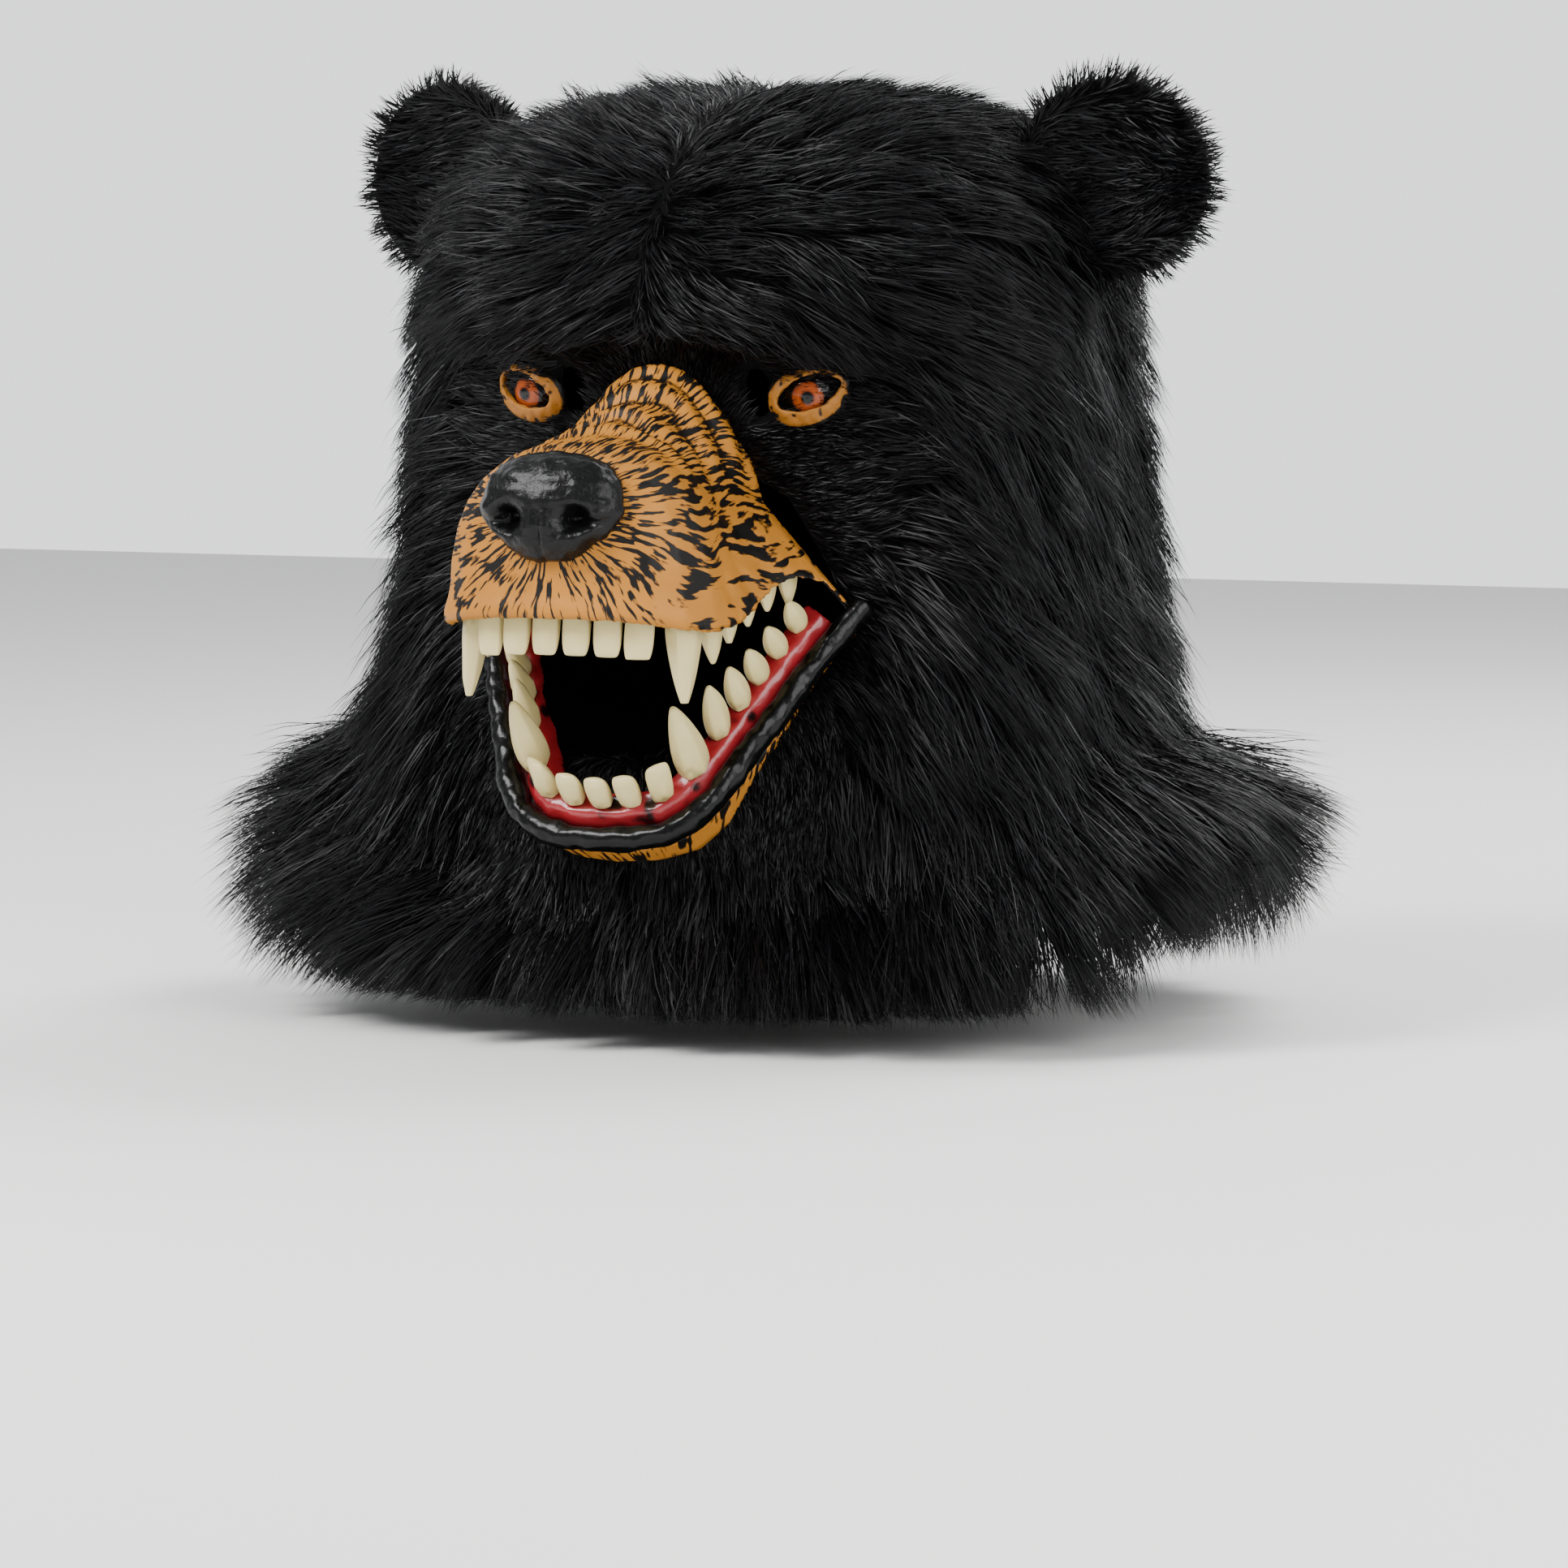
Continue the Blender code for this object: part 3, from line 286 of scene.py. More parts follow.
@dataclass
class Piece:
    """A mesh of its own, at the origin, that stands for CAD nodes."""

    obj: bpy.types.Object

    @staticmethod
    def of(name: str, *nodes: str) -> "Piece":
        """Copies CAD nodes into one merged mesh.

        Args:
            name: the new piece's name.
            nodes: the CAD nodes.
        """
        work = bmesh.new()
        for node in nodes:
            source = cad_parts[node]
            part = bmesh.new()
            part.from_mesh(source.data)
            part.transform(source.matrix_world)
            bmesh.ops.remove_doubles(part, verts=part.verts, dist=1e-6)
            mesh = bpy.data.meshes.new("part")
            part.to_mesh(mesh)
            part.free()
            work.from_mesh(mesh)
            bpy.data.meshes.remove(mesh)
        mesh = bpy.data.meshes.new(name)
        work.to_mesh(mesh)
        work.free()
        obj = bpy.data.objects.new(name, mesh)
        bpy.context.scene.collection.objects.link(obj)
        return Piece(obj)

    @staticmethod
    def of_arrays(name: str, points: Array, loops: Array, sizes: Array) -> "Piece":
        """Makes a mesh from arrays of points, face corners and face sizes."""
        mesh = bpy.data.meshes.new(name)
        mesh.vertices.add(len(points))
        mesh.vertices.foreach_set("co", points.astype(np.float32).ravel())
        mesh.loops.add(len(loops))
        mesh.loops.foreach_set("vertex_index", loops.astype(np.int32))
        mesh.polygons.add(len(sizes))
        starts = np.concatenate([[0], np.cumsum(sizes)[:-1]])
        mesh.polygons.foreach_set("loop_start", starts.astype(np.int32))
        mesh.update(calc_edges=True)
        mesh.validate()
        obj = bpy.data.objects.new(name, mesh)
        bpy.context.scene.collection.objects.link(obj)
        return Piece(obj)

    def modified(self, kind: str, **settings) -> "Piece":
        """Adds a modifier and applies it."""
        bpy.ops.object.select_all(action="DESELECT")
        self.obj.select_set(True)
        bpy.context.view_layer.objects.active = self.obj
        modifier = self.obj.modifiers.new("work", kind)
        for key, value in settings.items():
            setattr(modifier, key, value)
        bpy.ops.object.modifier_apply(modifier="work")
        return self

    def points(self) -> Array:
        """The vertices' places."""
        flat = np.empty(len(self.obj.data.vertices) * 3, np.float32)
        self.obj.data.vertices.foreach_get("co", flat)
        return flat.reshape(-1, 3).astype(float)

    def normals(self) -> Array:
        """The vertices' outward directions."""
        flat = np.empty(len(self.obj.data.vertices) * 3, np.float32)
        self.obj.data.vertex_normals.foreach_get("vector", flat)
        return flat.reshape(-1, 3).astype(float)

    def moved(self, offsets: Array) -> "Piece":
        """Adds an offset to each vertex."""
        self.obj.data.vertices.foreach_set("co", (self.points() + offsets).astype(np.float32).ravel())
        self.obj.data.update()
        return self

    def painted(self, values: Array) -> "Piece":
        """Stores how much of the second colour each vertex has."""
        layer = self.obj.data.attributes.new("paint", "FLOAT", "POINT")
        layer.data.foreach_set("value", np.clip(values, 0, 1).astype(np.float32))
        return self

    def stroked(self, along: Array, sparse: Array) -> "Piece":
        """Stores the coordinates that painted strokes follow, and how far apart they are."""
        layer = self.obj.data.attributes.new("stroke", "FLOAT_VECTOR", "POINT")
        layer.data.foreach_set("vector", along.astype(np.float32).ravel())
        layer = self.obj.data.attributes.new("sparse", "FLOAT", "POINT")
        layer.data.foreach_set("value", sparse.astype(np.float32))
        return self

    def finished(self, finish: Finish, *nodes: str) -> "Piece":
        """Smooths the shading, gives the finish, and puts the piece in the CAD nodes' place."""
        self.obj.data.materials.clear()
        self.obj.data.materials.append(finish.plain())
        self.obj.data.polygons.foreach_set("use_smooth", [True] * len(self.obj.data.polygons))
        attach(self.obj, "root")
        if nodes:
            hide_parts(*nodes)
        return self


class Zone(Enum):
    """The parts of the coat, each a mesh of its own."""

    CROWN = "fur_crown"
    FACE = "fur_face"
    LEFT = "fur_left"
    RIGHT = "fur_right"
    NECK = "fur_neck"
    BACK = "fur_back"

    @property
    def locks(self) -> tuple[float, float]:
        """How tightly hairs gather in a lock, and the distance between locks in metres."""
        long_hair = {Zone.LEFT: (0.66, 0.015), Zone.RIGHT: (0.66, 0.015), Zone.NECK: (0.54, 0.014), Zone.BACK: (0.60, 0.015)}
        return long_hair.get(self, (0.58, 0.011))

    @property
    def lift(self) -> float:
        """How steeply the hair leaves the skin: flatter at the sides."""
        return 0.62 if self in (Zone.LEFT, Zone.RIGHT) else 0.80


@dataclass(frozen=True)
class Strands:
    """Ribbon hairs grown from roots on a surface.

    Attributes:
        name: the mesh's name.
        width: a hair's width at its root, in metres.
        clump: how far hairs lean to their lock's own tip, from 0 to 1.
        lock: the distance between locks, in metres.
        lift: how steeply hairs leave the skin.
    """

    name: str
    width: float
    clump: float
    lock: float
    seed: int
    lift: float = 0.85

    def grow(self, roots: Array, normals: Array, flows: Array, lengths: Array) -> Piece:
        """Grows the hairs.

        Args:
            roots: where they start.
            normals: the surface's outward directions there.
            flows: the directions that they lie in.
            lengths: their lengths, in metres.
        """
        rng = np.random.default_rng(self.seed)
        count = len(roots)
        lengths = lengths * rng.uniform(0.72, 1.12, count)
        jitter = rng.normal(0, 0.16, (count, 3))
        first = unit(flows + normals * self.lift + jitter)
        last = unit(flows + normals * self.lift * 0.26 + jitter * 1.3)
        middle = roots + first * lengths[:, None] * 0.5
        tip = roots + (first * 0.32 + last * 0.68) * lengths[:, None]
        guides = self.guides(roots, lengths)
        pull = self.clump * rng.uniform(0.6, 1.0, count)[:, None]
        tip = tip + pull * (tip[guides] - tip) * np.minimum(1, lengths / 0.02)[:, None]
        middle = middle + 0.45 * pull * (middle[guides] - middle)
        tip, middle = self.within(roots, tip), self.within(roots, middle)
        shares = (0.0, 0.38, 0.74, 1.0)
        spine = [
            (1 - t) ** 2 * roots + 2 * t * (1 - t) * middle + t * t * tip
            for t in shares
        ]
        side = unit(np.cross(tip - roots, normals + rng.normal(0, 0.5, (count, 3))))
        width = self.width * rng.uniform(0.7, 1.2, count)[:, None] * 0.5
        rows = []
        for place, share in zip(spine[:3], (1.0, 0.85, 0.55)):
            rows += [place - side * width * share, place + side * width * share]
        rows.append(spine[3])
        points = np.stack(rows, axis=1).reshape(-1, 3)
        base = (np.arange(count) * 7)[:, None]
        loops = (base + np.array([0, 1, 3, 2, 2, 3, 5, 4, 4, 5, 6])[None, :]).ravel()
        piece = Piece.of_arrays(self.name, points, loops, np.tile([4, 4, 3], count))
        for tone in FUR_TONES:
            piece.obj.data.materials.append(bpy.data.materials.get(tone.name) or tone.plain())
        tones = rng.choice(3, count, p=(0.5, 0.35, 0.15))
        piece.obj.data.polygons.foreach_set("material_index", np.repeat(tones, 3).astype(np.int32))
        piece.obj.data.polygons.foreach_set("use_smooth", [True] * (count * 3))
        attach(piece.obj, "root")
        LOG.info("%s has %d hairs", self.name, count)
        return piece

    def within(self, roots: Array, ends: Array) -> Array:
        """Shortens hairs that would pass the coat's limits to a side or the rear, and lifts those that hang too low."""
        reach = ends - roots
        wide = (WIDE_LIMIT - np.abs(roots[:, 0])) / np.maximum(reach[:, 0] * np.sign(roots[:, 0]), 1e-9)
        rear = (REAR_LIMIT - roots[:, 1]) / np.maximum(reach[:, 1], 1e-9)
        kept = roots + reach * np.clip(np.minimum(wide, rear), 0, 1)[:, None]
        kept[:, 2] = np.maximum(kept[:, 2], LOW_LIMIT)
        return kept

    def guides(self, roots: Array, lengths: Array) -> Array:
        """For each hair, the hair that leads its lock."""
        rng = np.random.default_rng(self.seed + 1)
        area = len(roots)
        spacing = max(6, int(area * 0.02 * (0.010 / self.lock) ** 2))
        chosen = rng.choice(area, min(area, spacing), replace=False)
        tree = kdtree.KDTree(len(chosen))
        for index, place in enumerate(roots[chosen]):
            tree.insert(place, index)
        tree.balance()
        return np.array([chosen[tree.find(place)[1]] for place in roots])


@dataclass
class Coat:
    """The fur coat: a backing skin on the hood, and hair in zones over it.

    Attributes:
        hairs: how many hairs in all.
        depth: the coat's full depth, in metres.
    """

    hairs: int = 122000
    depth: float = 0.024

    def fur_depth(self, places: Array) -> Array:
        """The depth of the coat over a place of the hood."""
        crown = 0.015 + (self.depth - 0.015) * ramp(-places[:, 2], 0.0, 0.06)
        beside = np.maximum(0, np.abs(places[:, 0]) - 0.082)
        above = np.maximum(0, places[:, 2] - (EYE_Z + 0.012))
        below = np.maximum(0, EYE_Z - 0.190 - places[:, 2])
        share = ramp(np.hypot(beside, np.maximum(above, below)), 0, 0.030)
        return np.where(places[:, 1] < 0, 0.005 + (crown - 0.005) * share, crown)

    def length(self, places: Array) -> Array:
        """How long the hair is there."""
        x, y, z = np.abs(places[:, 0]), places[:, 1], places[:, 2]
        front = ramp(-y, -0.02, 0.03)
        full = 0.027 + 0.014 * ramp(-z, 0.02, 0.12) + 0.022 * ramp(-z, 0.12, 0.24)
        face = np.maximum(ramp(x, 0.066, 0.112), ramp(z, EYE_Z + 0.008, EYE_Z + 0.034))
        face = np.maximum(face, ramp(-z, 0.283, 0.315))
        parting = 1 - 0.45 * (1 - ramp(x, 0.0, 0.030)) * ramp(z, EYE_Z, EYE_Z + 0.02) * front
        return (full * (1 - front) + (0.0075 + (full - 0.0075) * face) * front) * parting

    def flow(self, places: Array, normals: Array) -> Array:
        """The direction that the hair lies in there."""
        x, y, z = places.T
        side = np.tanh(x / 0.004)
        wide = x / 0.12
        down = np.stack([wide * 0.5, y / 0.11 * 0.35 + 0.45 * ramp(-z, -0.3, 0.25) * 0 + 0.25, -np.ones_like(x)], axis=1)
        brow = np.stack([side * 1.0, 0.25 + 0 * x, -0.48 + 0 * x], axis=1)
        top = np.stack([side * 0.8, 0.55 + 0 * x, -0.25 + 0 * x], axis=1)
        radius = np.hypot(x, z - (EYE_Z - 0.055))
        radial = np.stack([x / np.maximum(radius, 1e-3), 0.5 + 0 * x, (z - (EYE_Z - 0.055)) / np.maximum(radius, 1e-3) - 0.25], axis=1)
        front = ramp(-y, 0.0, 0.05)[:, None]
        upper = (ramp(z, EYE_Z + 0.0, EYE_Z + 0.035)[:, None]) * front
        near = (1 - ramp(radius, 0.085, 0.130))[:, None] * front * (1 - ramp(z, EYE_Z + 0.012, EYE_Z + 0.03)[:, None])
        lid = ramp(z, -0.045, -0.010)[:, None]
        mixed = down * (1 - upper) + brow * upper
        mixed = mixed * (1 - near) + radial * near
        mixed = mixed * (1 - lid) + top * lid
        wave = np.stack([noise(places / 0.030, 3 + k) for k in range(3)], axis=1) * 0.34
        mixed = mixed + wave
        return unit(mixed - normals * np.sum(mixed * normals, axis=1, keepdims=True))

    def build(self) -> None:
        """Makes the backing and the hair."""
        skin = Piece.of("fur_backing", "hood").modified("SUBSURF", levels=1, render_levels=1)
        self.keep_outside(skin.obj)
        places, normals = skin.points(), skin.normals()
        inner = self.inner_vertices(skin.obj)
        rise = np.where(inner, np.maximum(0.0008, 0.45 * self.fur_depth(places)), 0.0008)
        skin.moved(normals * rise[:, None])
        skin.finished(BACKING, "hood_fur")
        roots, out = self.scatter(skin)
        length = self.length(roots)
        flow = self.flow(roots, out)
        zones = self.zones(roots)
        for index, zone in enumerate(Zone):
            chosen = zones == index
            if chosen.any():
                clump, lock = zone.locks
                Strands(zone.value, 0.00060, clump, lock, 20 + index, zone.lift).grow(
                    roots[chosen], out[chosen], flow[chosen], length[chosen]
                )

    def keep_outside(self, obj: bpy.types.Object) -> None:
        """Drops the faces of the hood's inner face and rims."""
        work = bmesh.new()
        work.from_mesh(obj.data)
        drop = []
        for face in work.faces:
            centre = face.calc_center_median()
            away = centre - Vector((0, AXIS_Y, min(centre.z, -0.060)))
            if face.normal.dot(away.normalized()) < 0.25:
                drop.append(face)
        bmesh.ops.delete(work, geom=drop, context="FACES")
        work.to_mesh(obj.data)
        work.free()

    def inner_vertices(self, obj: bpy.types.Object) -> Array:
        """True for each vertex that no open edge touches."""
        work = bmesh.new()
        work.from_mesh(obj.data)
        found = np.array([not vert.is_boundary for vert in work.verts])
        work.free()
        return found

    def scatter(self, skin: Piece) -> tuple[Array, Array]:
        """Spreads roots over the backing, closer where the hair is short."""
        rng = np.random.default_rng(4)
        mesh = skin.obj.data
        mesh.calc_loop_triangles()
        corners = np.array([tri.vertices for tri in mesh.loop_triangles])
        places, normals = skin.points(), skin.normals()
        a, b, c = (places[corners[:, k]] for k in range(3))
        area = np.linalg.norm(np.cross(b - a, c - a), axis=1)
        middle = (a + b + c) / 3
        crowd = 1 + 1.6 * (1 - ramp(self.length(middle), 0.010, 0.024))
        crowd *= np.where(middle[:, 1] > 0.06, 0.62, 1.0)
        crowd *= 1 + 1.3 * ramp(-middle[:, 2], 0.250, 0.300)
        beside = np.hypot(np.abs(middle[:, 0]) - 0.0405, (middle[:, 2] - EYE_Z) * 0.7)
        crowd *= np.where((beside < 0.011) & (middle[:, 1] < 0), 0.05, 1.0)
        chance = area * crowd
        index = rng.choice(len(area), self.hairs, p=chance / chance.sum())
        u, v = rng.random((2, self.hairs))
        flip = u + v > 1
        u, v = np.where(flip, 1 - u, u)[:, None], np.where(flip, 1 - v, v)[:, None]
        mix = [places[corners[index, k]] for k in range(3)]
        turn = [normals[corners[index, k]] for k in range(3)]
        return mix[0] * (1 - u - v) + mix[1] * u + mix[2] * v, unit(turn[0] * (1 - u - v) + turn[1] * u + turn[2] * v)

    def zones(self, roots: Array) -> Array:
        """Which zone each root lies in."""
        x, y, z = roots.T
        chosen = np.where(x > 0, 2, 3)
        chosen = np.where((y < -0.03) & (np.abs(x) < 0.105) & (z > -0.26), 1, chosen)
        chosen = np.where(z < -0.245, 4, chosen)
        chosen = np.where(y > 0.06, 5, chosen)
        return np.where(z > -0.045, 0, chosen)


@dataclass(frozen=True)
class Ear:
    """A cup ear in short hair.

    Attributes:
        side: 1 for the wearer's left, -1 for the right.
    """

    side: int
    hairs: int = 7500

    def build(self) -> None:
        """Makes the ear's skin and its hair, which radiates from the cup's middle."""
        word = "left" if self.side > 0 else "right"
        skin = Piece.of("ear_skin_" + word, "ear_" + word).modified("SUBSURF", levels=2, render_levels=2)
        skin.finished(BACKING, "ear_" + word)
        places, normals = skin.points(), skin.normals()
        mesh = skin.obj.data
        mesh.calc_loop_triangles()
        corners = np.array([tri.vertices for tri in mesh.loop_triangles])
        a, b, c = (places[corners[:, k]] for k in range(3))
        area = np.linalg.norm(np.cross(b - a, c - a), axis=1)
        rng = np.random.default_rng(31)
        index = rng.choice(len(area), self.hairs, p=area / area.sum())
        u, v = rng.dirichlet((1, 1, 1), self.hairs)[:, :2].T[:, :, None]
        roots = a[index] * (1 - u - v) + b[index] * u + c[index] * v
        out = unit(sum(normals[corners[index, k]] for k in range(3)))
        centre = places.mean(axis=0)
        flow = 0.5 * (roots - centre) + np.array([0.0, 0.034, 0.0])
        flow = unit(flow - out * np.sum(flow * out, axis=1, keepdims=True))
        length = np.full(self.hairs, 0.0125)
        Strands("fur_ear_" + word, 0.0007, 0.45, 0.008, 41, 0.45).grow(roots, out, flow, length)


@dataclass(frozen=True)
class Muzzle:
    """The painted latex muzzle: grooves that flow back from the nose, folds over the bridge.

    Attributes:
        voxel: the mesh's fineness, in metres.
    """

    voxel: float = 0.0013

    def build(self) -> None:
        """Makes the muzzle."""
        piece = Piece.of("muzzle_latex", "muzzle").modified("REMESH", mode="VOXEL", voxel_size=self.voxel)
        piece.modified("SMOOTH", factor=0.5, iterations=6)
        places, normals = piece.points(), piece.normals()
        x, y, z = places.T
        back = y + 0.205
        nose = (np.array(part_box("nose")[0]) + np.array(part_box("nose")[1])) / 2
        round_nose = np.abs(np.arctan2(x, nose[2] - z)) + 0.07 * noise(places / 0.017, 12)
        away = np.linalg.norm(places - nose, axis=1)
        strokes = np.stack([round_nose * 0.045 / 0.0020, away / 0.0100, x / 0.015], axis=1)
        piece.stroked(strokes, 0.05 * ramp(-z, 0.165, 0.190) - 0.015 + 0.025 * noise(places / 0.020, 9))
        top = ramp(z, -0.150, -0.128) * ramp(back, 0.034, 0.052)
        folds = np.cos(2 * math.pi * (back + 0.16 * np.abs(x)) / 0.0150 + 1.6 * noise(places / 0.016, 2)) * top
        outside = ramp(np.sum(normals * unit(places - np.array([0, -0.13, -0.20])), axis=1), 0.0, 0.3)
        roll = 0.0022 * np.exp(-(((z + 0.193) / 0.007) ** 2)) * ramp(back, 0.115, 0.06)
        rise = roll - 0.0011 * np.clip(folds, -1, 1)
        piece.moved(normals * (rise * outside)[:, None])
        # Painted shade: the muzzle turns near-black on its inner face, which looks into the mouth, and towards its
        # rear, where it runs back under the fur
        rear = ramp(back, 0.092, 0.112)
        inside = 1 - outside
        piece.painted(np.maximum(np.maximum(np.clip(folds - 0.62, 0, 1) * 1.6, rear * 0.6), inside))
        piece.finished(LATEX, "muzzle")


@dataclass(frozen=True)
class Mouth:
    """The jaw, lip, gums and teeth."""

    def build(self) -> None:
        """Makes them all."""
        jaw = Piece.of("jaw_latex", "lower_jaw").modified("REMESH", mode="VOXEL", voxel_size=0.0014)
        jaw.modified("SMOOTH", factor=0.5, iterations=4)
        places, normals = jaw.points(), jaw.normals()
        turn = np.arctan2(places[:, 0], -places[:, 1] - 0.08)
        strokes = np.stack([turn * 0.060 / 0.0022, places[:, 2] / 0.011, 0 * turn], axis=1)
        jaw.stroked(strokes, 0.02 + 0.03 * noise(places / 0.020, 9))
        jaw.painted(0 * turn)
        jaw.finished(LATEX, "lower_jaw")

        lip = Piece.of("lip_roll", "lower_lip").modified("REMESH", mode="VOXEL", voxel_size=0.0013)
        lip.modified("SMOOTH", factor=0.5, iterations=8)
        creases = 0.0006 * noise(lip.points() / 0.010, 4) + 0.0006 * noise(lip.points() / 0.0042, 9)
        lip.moved(lip.normals() * (creases - 0.0002)[:, None])
        lip.painted(np.zeros(len(lip.points())))
        lip.finished(LIP_LATEX, "lower_lip")

        gum = Piece.of("gum", "lower_gum").modified("REMESH", mode="VOXEL", voxel_size=0.0012)
        gum.modified("SMOOTH", factor=0.5, iterations=5)
        bumps = noise(gum.points() / 0.0065, 4)
        gum.moved(gum.normals() * (0.0003 + 0.0009 * bumps)[:, None])
        gum.painted(np.clip(-bumps * 0.9, 0, 1))
        gum.finished(GUM_LATEX, "lower_gum")

        # The band behind the upper teeth is painted shade: a flat dark brown-black for the shaded inside of the mouth
        band = Piece.of("mouth_band", "upper_gum")
        band.finished(BAND_PAINTED_SHADE, "upper_gum")
        for prefix in ("upper", "lower"):
            self.teeth(prefix)

    def teeth(self, prefix: str) -> None:
        """One jaw's teeth as one smooth mesh, brown at the roots."""
        nodes = [
            name for name in sorted(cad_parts)
            if name.startswith(prefix + "_") and any(kind in name for kind in ("incisor", "canine", "cheek"))
        ]
        meshes, roots = [], []
        for node in nodes:
            tooth = Piece.of(node + "_resin", node)
            tooth.modified("BEVEL", width=0.0006, segments=1, limit_method="ANGLE", angle_limit=0.9)
            tooth.modified("SUBSURF", levels=2, render_levels=2)
            places = tooth.points()
            low, high = places[:, 2].min(), places[:, 2].max()
            share = (places[:, 2] - low) / (high - low)
            foot, head = places[share < 0.12].mean(axis=0), places[share > 0.88].mean(axis=0)
            axis = foot + (head - foot) * share[:, None]
            fuller = 0.14 if "canine" not in node else 0.04
            tooth.moved(fuller * (places - axis) * np.array([1.0, 1.0, 0.0]))
            root = share if prefix == "upper" else 1 - share
            stain = ramp(root, 0.35, 1.0) * 0.75 + 0.15 * noise(places / 0.003, 2)
            tooth.painted(stain * 0.55)
            meshes.append(tooth.obj)
        bpy.ops.object.select_all(action="DESELECT")
        for obj in meshes:
            obj.select_set(True)
        bpy.context.view_layer.objects.active = meshes[0]
        bpy.ops.object.join()
        joined = Piece(bpy.context.view_layer.objects.active)
        joined.obj.name = prefix + "_teeth"
        joined.finished(TOOTH_RESIN, *nodes)


@dataclass(frozen=True)
class Nose:
    """The glossy nose pad."""

    def build(self) -> None:
        """Makes the pad with soft edges."""
        pad = Piece.of("nose_pad", "nose").modified("REMESH", mode="VOXEL", voxel_size=0.0012)
        pad.modified("SMOOTH", factor=0.5, iterations=6)
        low, high = (np.array(corner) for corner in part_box("nose"))
        x, y, z = (pad.points() - (low + high) / 2).T
        out = np.abs(x)
        grain = noise(pad.points() / 0.0028, 3)
        taper = -x * 0.34 * ramp(-z, 0.000, 0.019)
        nostril = 0.0065 * np.exp(-(((out - 0.0125) / 0.0058) ** 2) - ((z + 0.003) / 0.0048) ** 2)
        slit = 0.0040 * np.exp(-(((out - 0.0205) / 0.0055) ** 2) - ((z + 0.0055 - 0.2 * (out - 0.0205)) / 0.0020) ** 2)
        groove = 0.0018 * np.exp(-((x / 0.0013) ** 2)) * ramp(-z, -0.004, 0.004)
        ahead = ramp(-y, -0.002, 0.004)
        dents = np.stack([taper, (nostril + slit + groove) * ahead, 0 * x], axis=1)
        wrinkle = noise(pad.points() / np.array([0.0060, 0.0045, 0.0022]), 7)
        widen = np.stack([0.05 * x, 0 * x, 0.03 * z], axis=1)
        pad.moved(pad.normals() * (0.0007 + 0.00035 * grain + 0.00045 * wrinkle)[:, None] + dents + widen)
        pad.painted(np.zeros(len(grain)))
        pad.finished(NOSE_LATEX, "nose")


@dataclass(frozen=True)
class Eye:
    """A glossy eye with a rust iris, in a rough lid.

    Attributes:
        side: 1 for the wearer's left, -1 for the right.
    """

    side: int

    def build(self) -> None:
        """Makes the eye and its lid."""
        word = "left" if self.side > 0 else "right"
        ball = Piece.of("eye_" + word, "eyeball_" + word).modified("SUBSURF", levels=2, render_levels=2)
        low, high = (np.array(corner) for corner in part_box("eyeball_" + word))
        middle = (low + high) / 2
        axis = Vector((self.side * 0.27, -0.96, -0.02)).normalized()
        ball.finished(CLOTH, "eyeball_" + word)
        ball.obj.data.materials[0] = self.iris(word, Vector(middle), axis)
        lid = Piece.of("lid_" + word, "eyelid_" + word).modified("REMESH", mode="VOXEL", voxel_size=0.0007)
        lid.modified("SMOOTH", factor=0.5, iterations=4)
        rough = noise(lid.points() / 0.0026, 6)
        lid.moved(lid.normals() * (0.0005 * rough)[:, None])
        tilt = math.radians(20)
        low, high = (np.array(corner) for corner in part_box("eyelid_" + word))
        x, _, z = (lid.points() - (low + high) / 2).T
        along = self.side * x * math.cos(tilt) + z * math.sin(tilt)
        above = -self.side * x * math.sin(tilt) + z * math.cos(tilt)
        rim = ramp(np.hypot(along / 0.0175, above / 0.0118), 0.82, 1.02)
        lid.painted(np.maximum(np.clip(-rough * 0.9 + 0.05, 0, 1), rim))
        lid.finished(LID_LATEX, "eyelid_" + word)

    def iris(self, word: str, middle: Vector, axis: Vector) -> bpy.types.Material:
        """Glossy black with a rust ring round the pupil, set about the eye's own axis."""
        made, tree, shader = Finish("eye_" + word, "050505", 0.06, coat=0.15, specular=0.25).build()
        place = tree.add("ShaderNodeTexCoord").outputs["Object"]
        centred = tree.add("ShaderNodeVectorMath", {"operation": "SUBTRACT"}, n0=place, n1=tuple(middle))
        crossed = tree.add("ShaderNodeVectorMath", {"operation": "CROSS_PRODUCT"}, n0=centred.outputs[0], n1=tuple(axis))
        distance = tree.add("ShaderNodeVectorMath", {"operation": "LENGTH"}, n0=crossed.outputs[0])
        scaled = tree.add("ShaderNodeMath", {"operation": "MULTIPLY"}, n0=distance.outputs["Value"], n1=100.0)
        colours = tree.add("ShaderNodeValToRGB", Fac=scaled.outputs[0])
        stops = colours.color_ramp.elements
        stops[0].position, stops[0].color = 0.22, linear("040303")
        stops[1].position, stops[1].color = 0.66, linear("040303")
        for position, code in ((0.27, "6E2C10"), (0.36, "964318"), (0.60, "7C3412")):
            stop = stops.new(position)
            stop.color = linear(code)
        tree.tree.links.new(colours.outputs["Color"], shader.inputs["Base Color"])
        return made


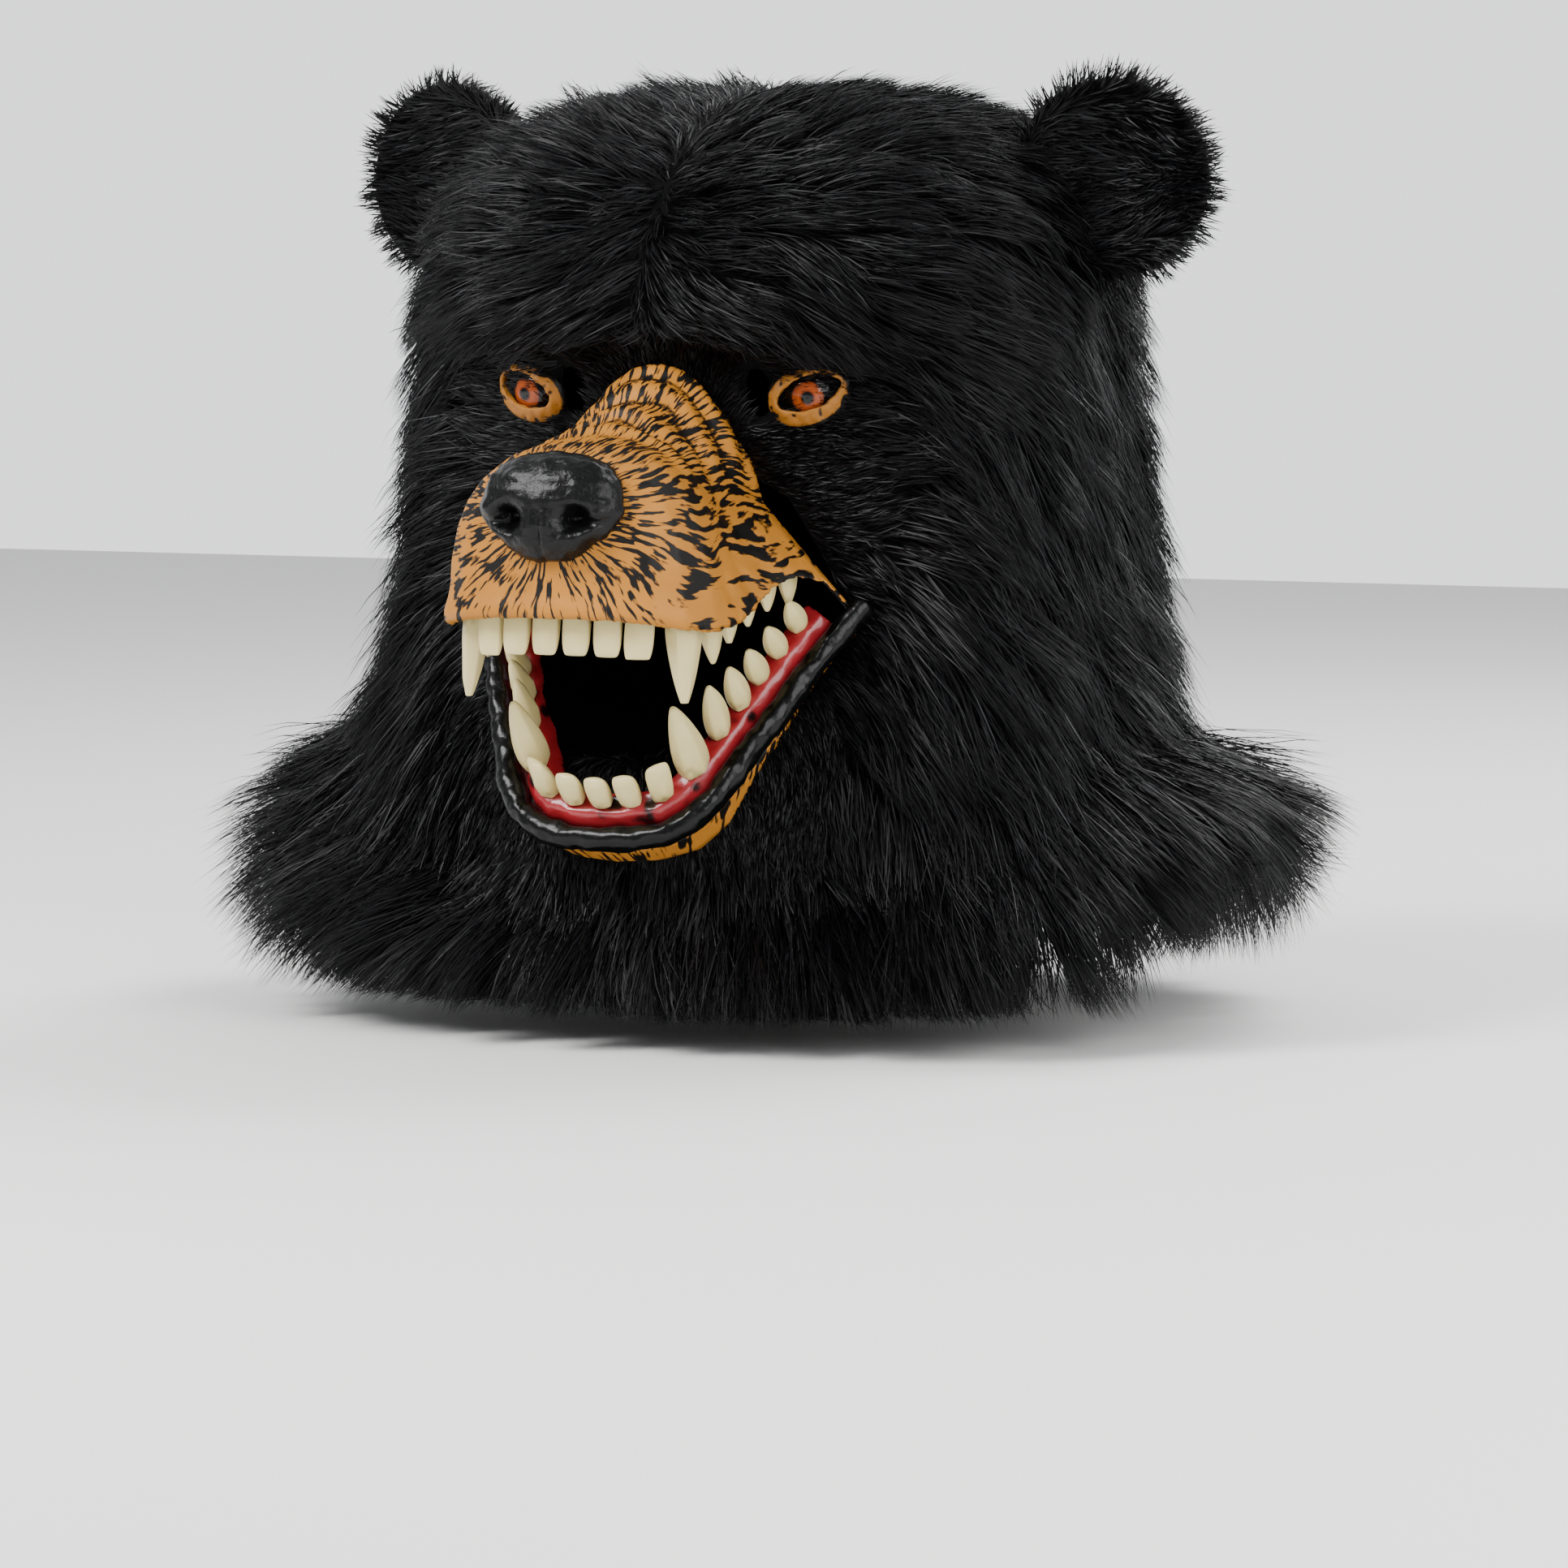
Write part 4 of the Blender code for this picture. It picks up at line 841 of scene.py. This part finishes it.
@dataclass(frozen=True)
class Studio:
    """A pale floor, soft light and the photo's camera.

    Attributes:
        azimuth: the camera's turn, in degrees.
        elevation: its height above level, in degrees.
        distance: how far it stands from its aim, in metres.
        frame_width: how much the picture spans at the aim, in metres.
        aim_right: the aim, right of the eyes.
        aim_up: the aim, above the eyes.
    """

    azimuth: float = 25.0
    elevation: float = 5.0
    distance: float = 2.6
    frame_width: float = 0.618
    aim_right: float = 0.0515
    aim_up: float = -0.1546

    def build(self) -> None:
        """Makes the floor, the lights, the world and the camera."""
        bpy.ops.mesh.primitive_plane_add(size=6, location=(0, 0, LOW_LIMIT - 0.012))
        floor = bpy.context.active_object
        floor.name = "floor"
        floor.data.materials.append(Finish("pale_floor", "F1F1EF", 0.8).plain())
        world = bpy.data.worlds.new("studio")
        world.use_nodes = True
        world.node_tree.nodes["Background"].inputs["Color"].default_value = linear("FCFDFF")
        sky = Shader(world.node_tree)
        ahead = sky.add("ShaderNodeSeparateXYZ", Vector=sky.add("ShaderNodeTexCoord").outputs["Generated"])
        glow = sky.add(
            "ShaderNodeMapRange", {"interpolation_type": "SMOOTHSTEP"},
            Value=ahead.outputs["Y"], From_Min=0.10, From_Max=0.70, To_Min=0.40, To_Max=1.7,
        )
        sky.tree.links.new(glow.outputs["Result"], world.node_tree.nodes["Background"].inputs["Strength"])
        bpy.context.scene.world = world
        aim = self.aim()
        for name, place, size, watts in (
            ("key", (-0.9, -1.3, 1.1), 0.9, 56),
            ("fill", (1.4, -0.9, 0.5), 1.2, 26),
            ("rim", (0.5, 1.3, 1.2), 1.0, 40),
        ):
            lamp = bpy.data.lights.new(name, "AREA")
            lamp.energy = watts
            lamp.size = size
            holder = bpy.data.objects.new(name, lamp)
            bpy.context.scene.collection.objects.link(holder)
            holder.location = place
            holder.rotation_euler = (aim - Vector(place)).to_track_quat("-Z", "Y").to_euler()
        camera = bpy.data.cameras.new("camera")
        camera.sensor_width = 36
        camera.lens = 36 * self.distance / self.frame_width
        holder = bpy.data.objects.new("camera", camera)
        bpy.context.scene.collection.objects.link(holder)
        holder.location = aim + self.towards() * self.distance
        holder.rotation_euler = (-self.towards()).to_track_quat("-Z", "Y").to_euler()
        bpy.context.scene.camera = holder

    def towards(self) -> Vector:
        """The direction from the aim to the camera."""
        turn, rise = math.radians(self.azimuth), math.radians(self.elevation)
        return Vector((math.sin(turn) * math.cos(rise), -math.cos(turn) * math.cos(rise), math.sin(rise)))

    def aim(self) -> Vector:
        """The place that the camera looks at."""
        right = Vector((math.cos(math.radians(self.azimuth)), math.sin(math.radians(self.azimuth)), 0))
        up = self.towards().cross(right)
        return Vector((0, -0.112, EYE_Z)) + right * self.aim_right + up * self.aim_up


def main() -> None:
    """Builds the mask's pieces, then the studio."""
    logging.basicConfig(level=logging.INFO)
    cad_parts["hood"].data.materials.clear()
    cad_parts["hood"].data.materials.append(CLOTH.plain())
    steps: tuple[Callable[[], None], ...] = (
        Muzzle().build,
        Mouth().build,
        Nose().build,
        Eye(1).build,
        Eye(-1).build,
        Coat().build,
        Ear(1).build,
        Ear(-1).build,
        Studio().build,
    )
    for step in steps:
        step()


if __name__ == "__main__":
    main()
